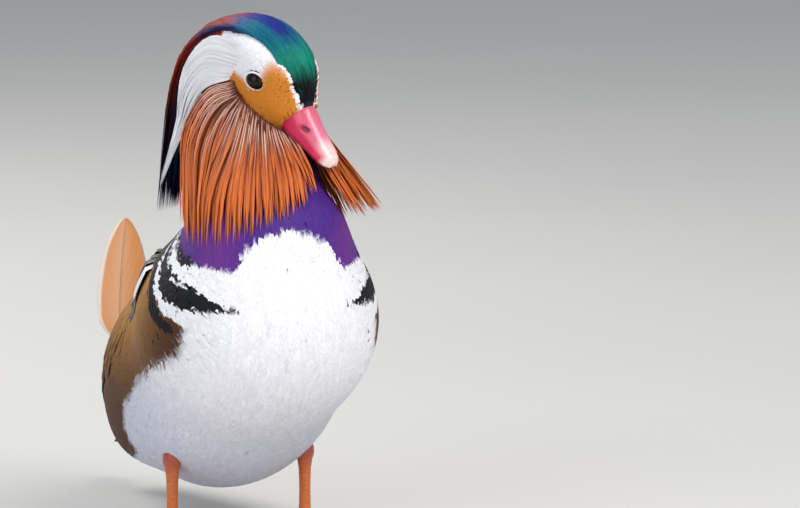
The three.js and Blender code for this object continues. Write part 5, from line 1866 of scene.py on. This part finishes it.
def build_web(look, name, heel, one, two, label, skin):
    """A web: a grid across from toe to toe and out from the heel, whose outer edge dips between the toes
    and which ripples a little. Its upper and lower sheets meet round its border."""
    rows, columns = 26, 22
    out = np.linspace(0.06, 1, rows)[:, None, None]
    across = np.linspace(0, 1, columns)[None, :, None]
    first, second = (way * long * web for way, long, web in (one, two))
    dip = 1 - 0.2 * np.sin(across * math.pi)
    flat = heel + (first * (1 - across) + second * across) * out * dip
    sag = 0.5 * np.sin(across * math.pi) * out + 0.18 * np.sin(across * 9 + out * 7)
    over = flat + np.array([0, 0, 1.0]) * (1.95 - sag)
    under = flat + np.array([0, 0, 1.0]) * (1.25 - sag)
    rings = np.concatenate([over, under[:, ::-1]], 1)
    dark = 0.55 + 0.35 * np.sin(np.linspace(0, math.pi, 2 * columns))[None]
    tint = blend(look.leg, look.web, dark * np.ones((rows, 1)))
    place_piece(loft(f"web_{name}_{label}", rings, skin, tint), "foot_skin")


def put_claw(name, toe, start, way, across, radius, horn):
    """A claw: round sections that shrink along a line which bends down to the floor."""
    t = np.linspace(0, 1, 22)
    r = radius * (1 - t * 0.88)
    line = start + way * (CLAW["long"] * t)[:, None]
    line[:, 2] = np.maximum(radius + 0.9 + 0.5 * np.sin(t * math.pi) - 1.3 * t**2, r + 0.1)
    rings = tube(line, r * 0.9, r, across, np.array([0, 0, 1.0]), 14)
    place_piece(loft(f"claw_horn_{name}_{toe}", rings, horn), "claw", f"claw_{name}_{toe}")


# Stage
SENSOR = 36
CAMERA = {
    "azimuth": -20, "height": 8, "distance": 3000, "scale": 2.0, "target": (0, 0, 130), "pixel": (238, 278)
}
PHOTO = (800, 508)
LIGHTS = (
    ("key", (0.55, -1.3, 1.5), 0.9, 26, (1.0, 0.98, 0.95)),
    ("fill", (-1.4, -0.9, 0.7), 1.2, 9, (0.9, 0.95, 1.0)),
    ("rim", (-0.5, 1.3, 1.3), 0.9, 20, (1.0, 0.98, 0.95)),
    ("low", (0.2, -1.6, 0.25), 0.9, 3, (1.0, 0.95, 0.9)),
)
SKY = {"Color": (0.8, 0.84, 0.9, 1), "Strength": 0.55}
FLOOR = {"half": 6, "flat": 3, "radius": 2, "under": 0.0004, "tint": (0.62, 0.61, 0.59)}
FLOOR_STEPS = 12


def build_stage():
    """A pale floor that bends up behind, soft lights, and a camera that sees the bird as the photograph
    does."""
    scene = bpy.context.scene
    scene.view_settings.view_transform = "Standard"
    middle = to_frame(np.array([0, 0, 100.0]))
    azimuth, height = math.radians(CAMERA["azimuth"]), math.radians(CAMERA["height"])
    back = np.array(
        [math.sin(azimuth) * math.cos(height), -math.cos(azimuth) * math.cos(height), math.sin(height)]
    )
    right = np.array([math.cos(azimuth), math.sin(azimuth), 0])
    up = np.cross(back, right)
    target = np.array(CAMERA["target"], float)
    place = target + back * CAMERA["distance"]
    off = (np.array(PHOTO) / 2 - np.array(CAMERA["pixel"])) / CAMERA["scale"]
    aim = target + right * off[0] - up * off[1]
    camera = bpy.data.objects.new("camera", bpy.data.cameras.new("camera"))
    scene.collection.objects.link(camera)
    camera.data.sensor_width = SENSOR
    camera.data.lens = SENSOR * CAMERA["distance"] * CAMERA["scale"] / PHOTO[0]
    camera.data.clip_start, camera.data.clip_end = 0.05, 50
    camera.location = to_frame(place)
    camera.rotation_euler = Vector(aim - place).to_track_quat("-Z", "Y").to_euler()
    scene.camera = camera
    across = np.linspace(-FLOOR["half"], FLOOR["half"], FLOOR_STEPS + 1)
    flat = np.linspace(-FLOOR["half"], FLOOR["flat"], FLOOR_STEPS)
    bend = np.linspace(0.1, 1, FLOOR_STEPS) * math.pi / 2
    depth = np.concatenate([flat, FLOOR["flat"] + FLOOR["radius"] * np.sin(bend)])
    rise = np.concatenate([0 * flat, FLOOR["radius"] * (1 - np.cos(bend))])
    x, y = np.meshgrid(across, depth, indexing="ij")
    z = np.broadcast_to(rise, x.shape)
    points = np.stack([x, y, z - FLOOR["under"]], -1).reshape(-1, 3) * 1000 - SHIFT * np.array([1, 1, 0])
    i, j = np.meshgrid(np.arange(len(across) - 1), np.arange(len(depth) - 1), indexing="ij")
    corner = i * len(depth) + j
    beside = corner + len(depth)
    faces = np.stack([corner, beside, beside + 1, corner + 1], -1).reshape(-1, 4)
    finish = finish_of("floor", "grain", {"Scale": 3.0, "Shade": 0.02}, 0.7, 0.0, "object", FLOOR["tint"])
    made = [put_mesh("floor", points, faces, finish)]
    for name, at, size, power, tint in LIGHTS:
        light = bpy.data.lights.new(name, "AREA")
        light.size, light.energy, light.color = size, power, tint
        lamp = bpy.data.objects.new(name, light)
        lamp.location = Vector(at) + Vector(middle)
        lamp.rotation_euler = (Vector(middle) - lamp.location).to_track_quat("-Z", "Y").to_euler()
        scene.collection.objects.link(lamp)
        made.append(lamp)
    world = bpy.data.worlds.new("studio")
    world.use_nodes = True
    for socket, value in SKY.items():
        world.node_tree.nodes["Background"].inputs[socket].default_value = value
    scene.world = world


# Operators and panel
def built(build, context):
    """Builds one group of pieces with the colours and sizes set in the panel."""
    build(context.scene.drake_colours, context.scene.drake_sizes)
    return {"FINISHED"}


class DRAKE_OT_skin(bpy.types.Operator):
    """Build the skin under the plumage, from the tail to the bill"""

    bl_idname = "drake.skin"
    bl_label = "Skin"

    def execute(self, context):
        return built(build_skin, context)


class DRAKE_OT_coat(bpy.types.Operator):
    """Build the body feathers in rows from the tail to the neck"""

    bl_idname = "drake.coat"
    bl_label = "Body coat"

    def execute(self, context):
        return built(build_coat, context)


class DRAKE_OT_face(bpy.types.Operator):
    """Build the tiny feathers of the head"""

    bl_idname = "drake.face"
    bl_label = "Face coat"

    def execute(self, context):
        return built(build_face, context)


class DRAKE_OT_ruff(bpy.types.Operator):
    """Build the long hackles on both sides of the neck"""

    bl_idname = "drake.ruff"
    bl_label = "Ruff"

    def execute(self, context):
        return built(build_ruff, context)


class DRAKE_OT_crest(bpy.types.Operator):
    """Build the plumes over the crown and behind the neck"""

    bl_idname = "drake.crest"
    bl_label = "Crest"

    def execute(self, context):
        return built(build_crest, context)


class DRAKE_OT_brows(bpy.types.Operator):
    """Build the white plumes beside the crest"""

    bl_idname = "drake.brows"
    bl_label = "Brow plumes"

    def execute(self, context):
        return built(build_brows, context)


class DRAKE_OT_shoulders(bpy.types.Operator):
    """Build the scapular feathers"""

    bl_idname = "drake.shoulders"
    bl_label = "Shoulders"

    def execute(self, context):
        return built(build_shoulders, context)


class DRAKE_OT_wings(bpy.types.Operator):
    """Build the coverts and the flight feathers"""

    bl_idname = "drake.wings"
    bl_label = "Wings"

    def execute(self, context):
        return built(build_wings, context)


class DRAKE_OT_sails(bpy.types.Operator):
    """Build the two upright feathers of the wings"""

    bl_idname = "drake.sails"
    bl_label = "Sail feathers"

    def execute(self, context):
        return built(build_sails, context)


class DRAKE_OT_tail(bpy.types.Operator):
    """Build the tail feathers and their coverts"""

    bl_idname = "drake.tail"
    bl_label = "Tail"

    def execute(self, context):
        return built(build_tail, context)


class DRAKE_OT_eyes(bpy.types.Operator):
    """Build the eyes and their lids"""

    bl_idname = "drake.eyes"
    bl_label = "Eyes"

    def execute(self, context):
        return built(build_eyes, context)


class DRAKE_OT_bill(bpy.types.Operator):
    """Build the upper bill, its nail and the lower bill"""

    bl_idname = "drake.bill"
    bl_label = "Bill"

    def execute(self, context):
        return built(build_bill, context)


class DRAKE_OT_legs(bpy.types.Operator):
    """Build the shanks, the webbed feet and the claws"""

    bl_idname = "drake.legs"
    bl_label = "Legs"

    def execute(self, context):
        return built(build_legs, context)


class DRAKE_OT_stage(bpy.types.Operator):
    """Set the floor, the lights and the camera"""

    bl_idname = "drake.stage"
    bl_label = "Stage"

    def execute(self, context):
        build_stage()
        return {"FINISHED"}


class DRAKE_PT_panel(bpy.types.Panel):
    """Sizes, colours and builders of the drake"""

    bl_label = "Mandarin drake"
    bl_space_type = "VIEW_3D"
    bl_region_type = "UI"
    bl_category = "Drake"

    def draw(self, context):
        for settings in (context.scene.drake_sizes, context.scene.drake_colours):
            column = self.layout.column()
            for name in settings.__annotations__:
                column.prop(settings, name)
        for builder in BUILDERS:
            self.layout.operator(builder.bl_idname)


BUILDERS = (
    DRAKE_OT_skin,
    DRAKE_OT_coat,
    DRAKE_OT_face,
    DRAKE_OT_ruff,
    DRAKE_OT_crest,
    DRAKE_OT_brows,
    DRAKE_OT_shoulders,
    DRAKE_OT_wings,
    DRAKE_OT_sails,
    DRAKE_OT_tail,
    DRAKE_OT_eyes,
    DRAKE_OT_bill,
    DRAKE_OT_legs,
    DRAKE_OT_stage,
)
CLASSES = (DrakeColours, DrakeSizes, *BUILDERS, DRAKE_PT_panel)


def register():
    """Adds the settings, the builders and the panel."""
    for one in CLASSES:
        bpy.utils.register_class(one)
    bpy.types.Scene.drake_colours = PointerProperty(type=DrakeColours)
    bpy.types.Scene.drake_sizes = PointerProperty(type=DrakeSizes)


def unregister():
    """Takes them away again."""
    del bpy.types.Scene.drake_sizes
    del bpy.types.Scene.drake_colours
    for one in reversed(CLASSES):
        bpy.utils.unregister_class(one)


def main():
    """Builds every piece in order."""
    register()
    for builder in BUILDERS:
        getattr(bpy.ops.drake, builder.bl_idname.split(".")[1])()


if __name__ == "__main__":
    main()
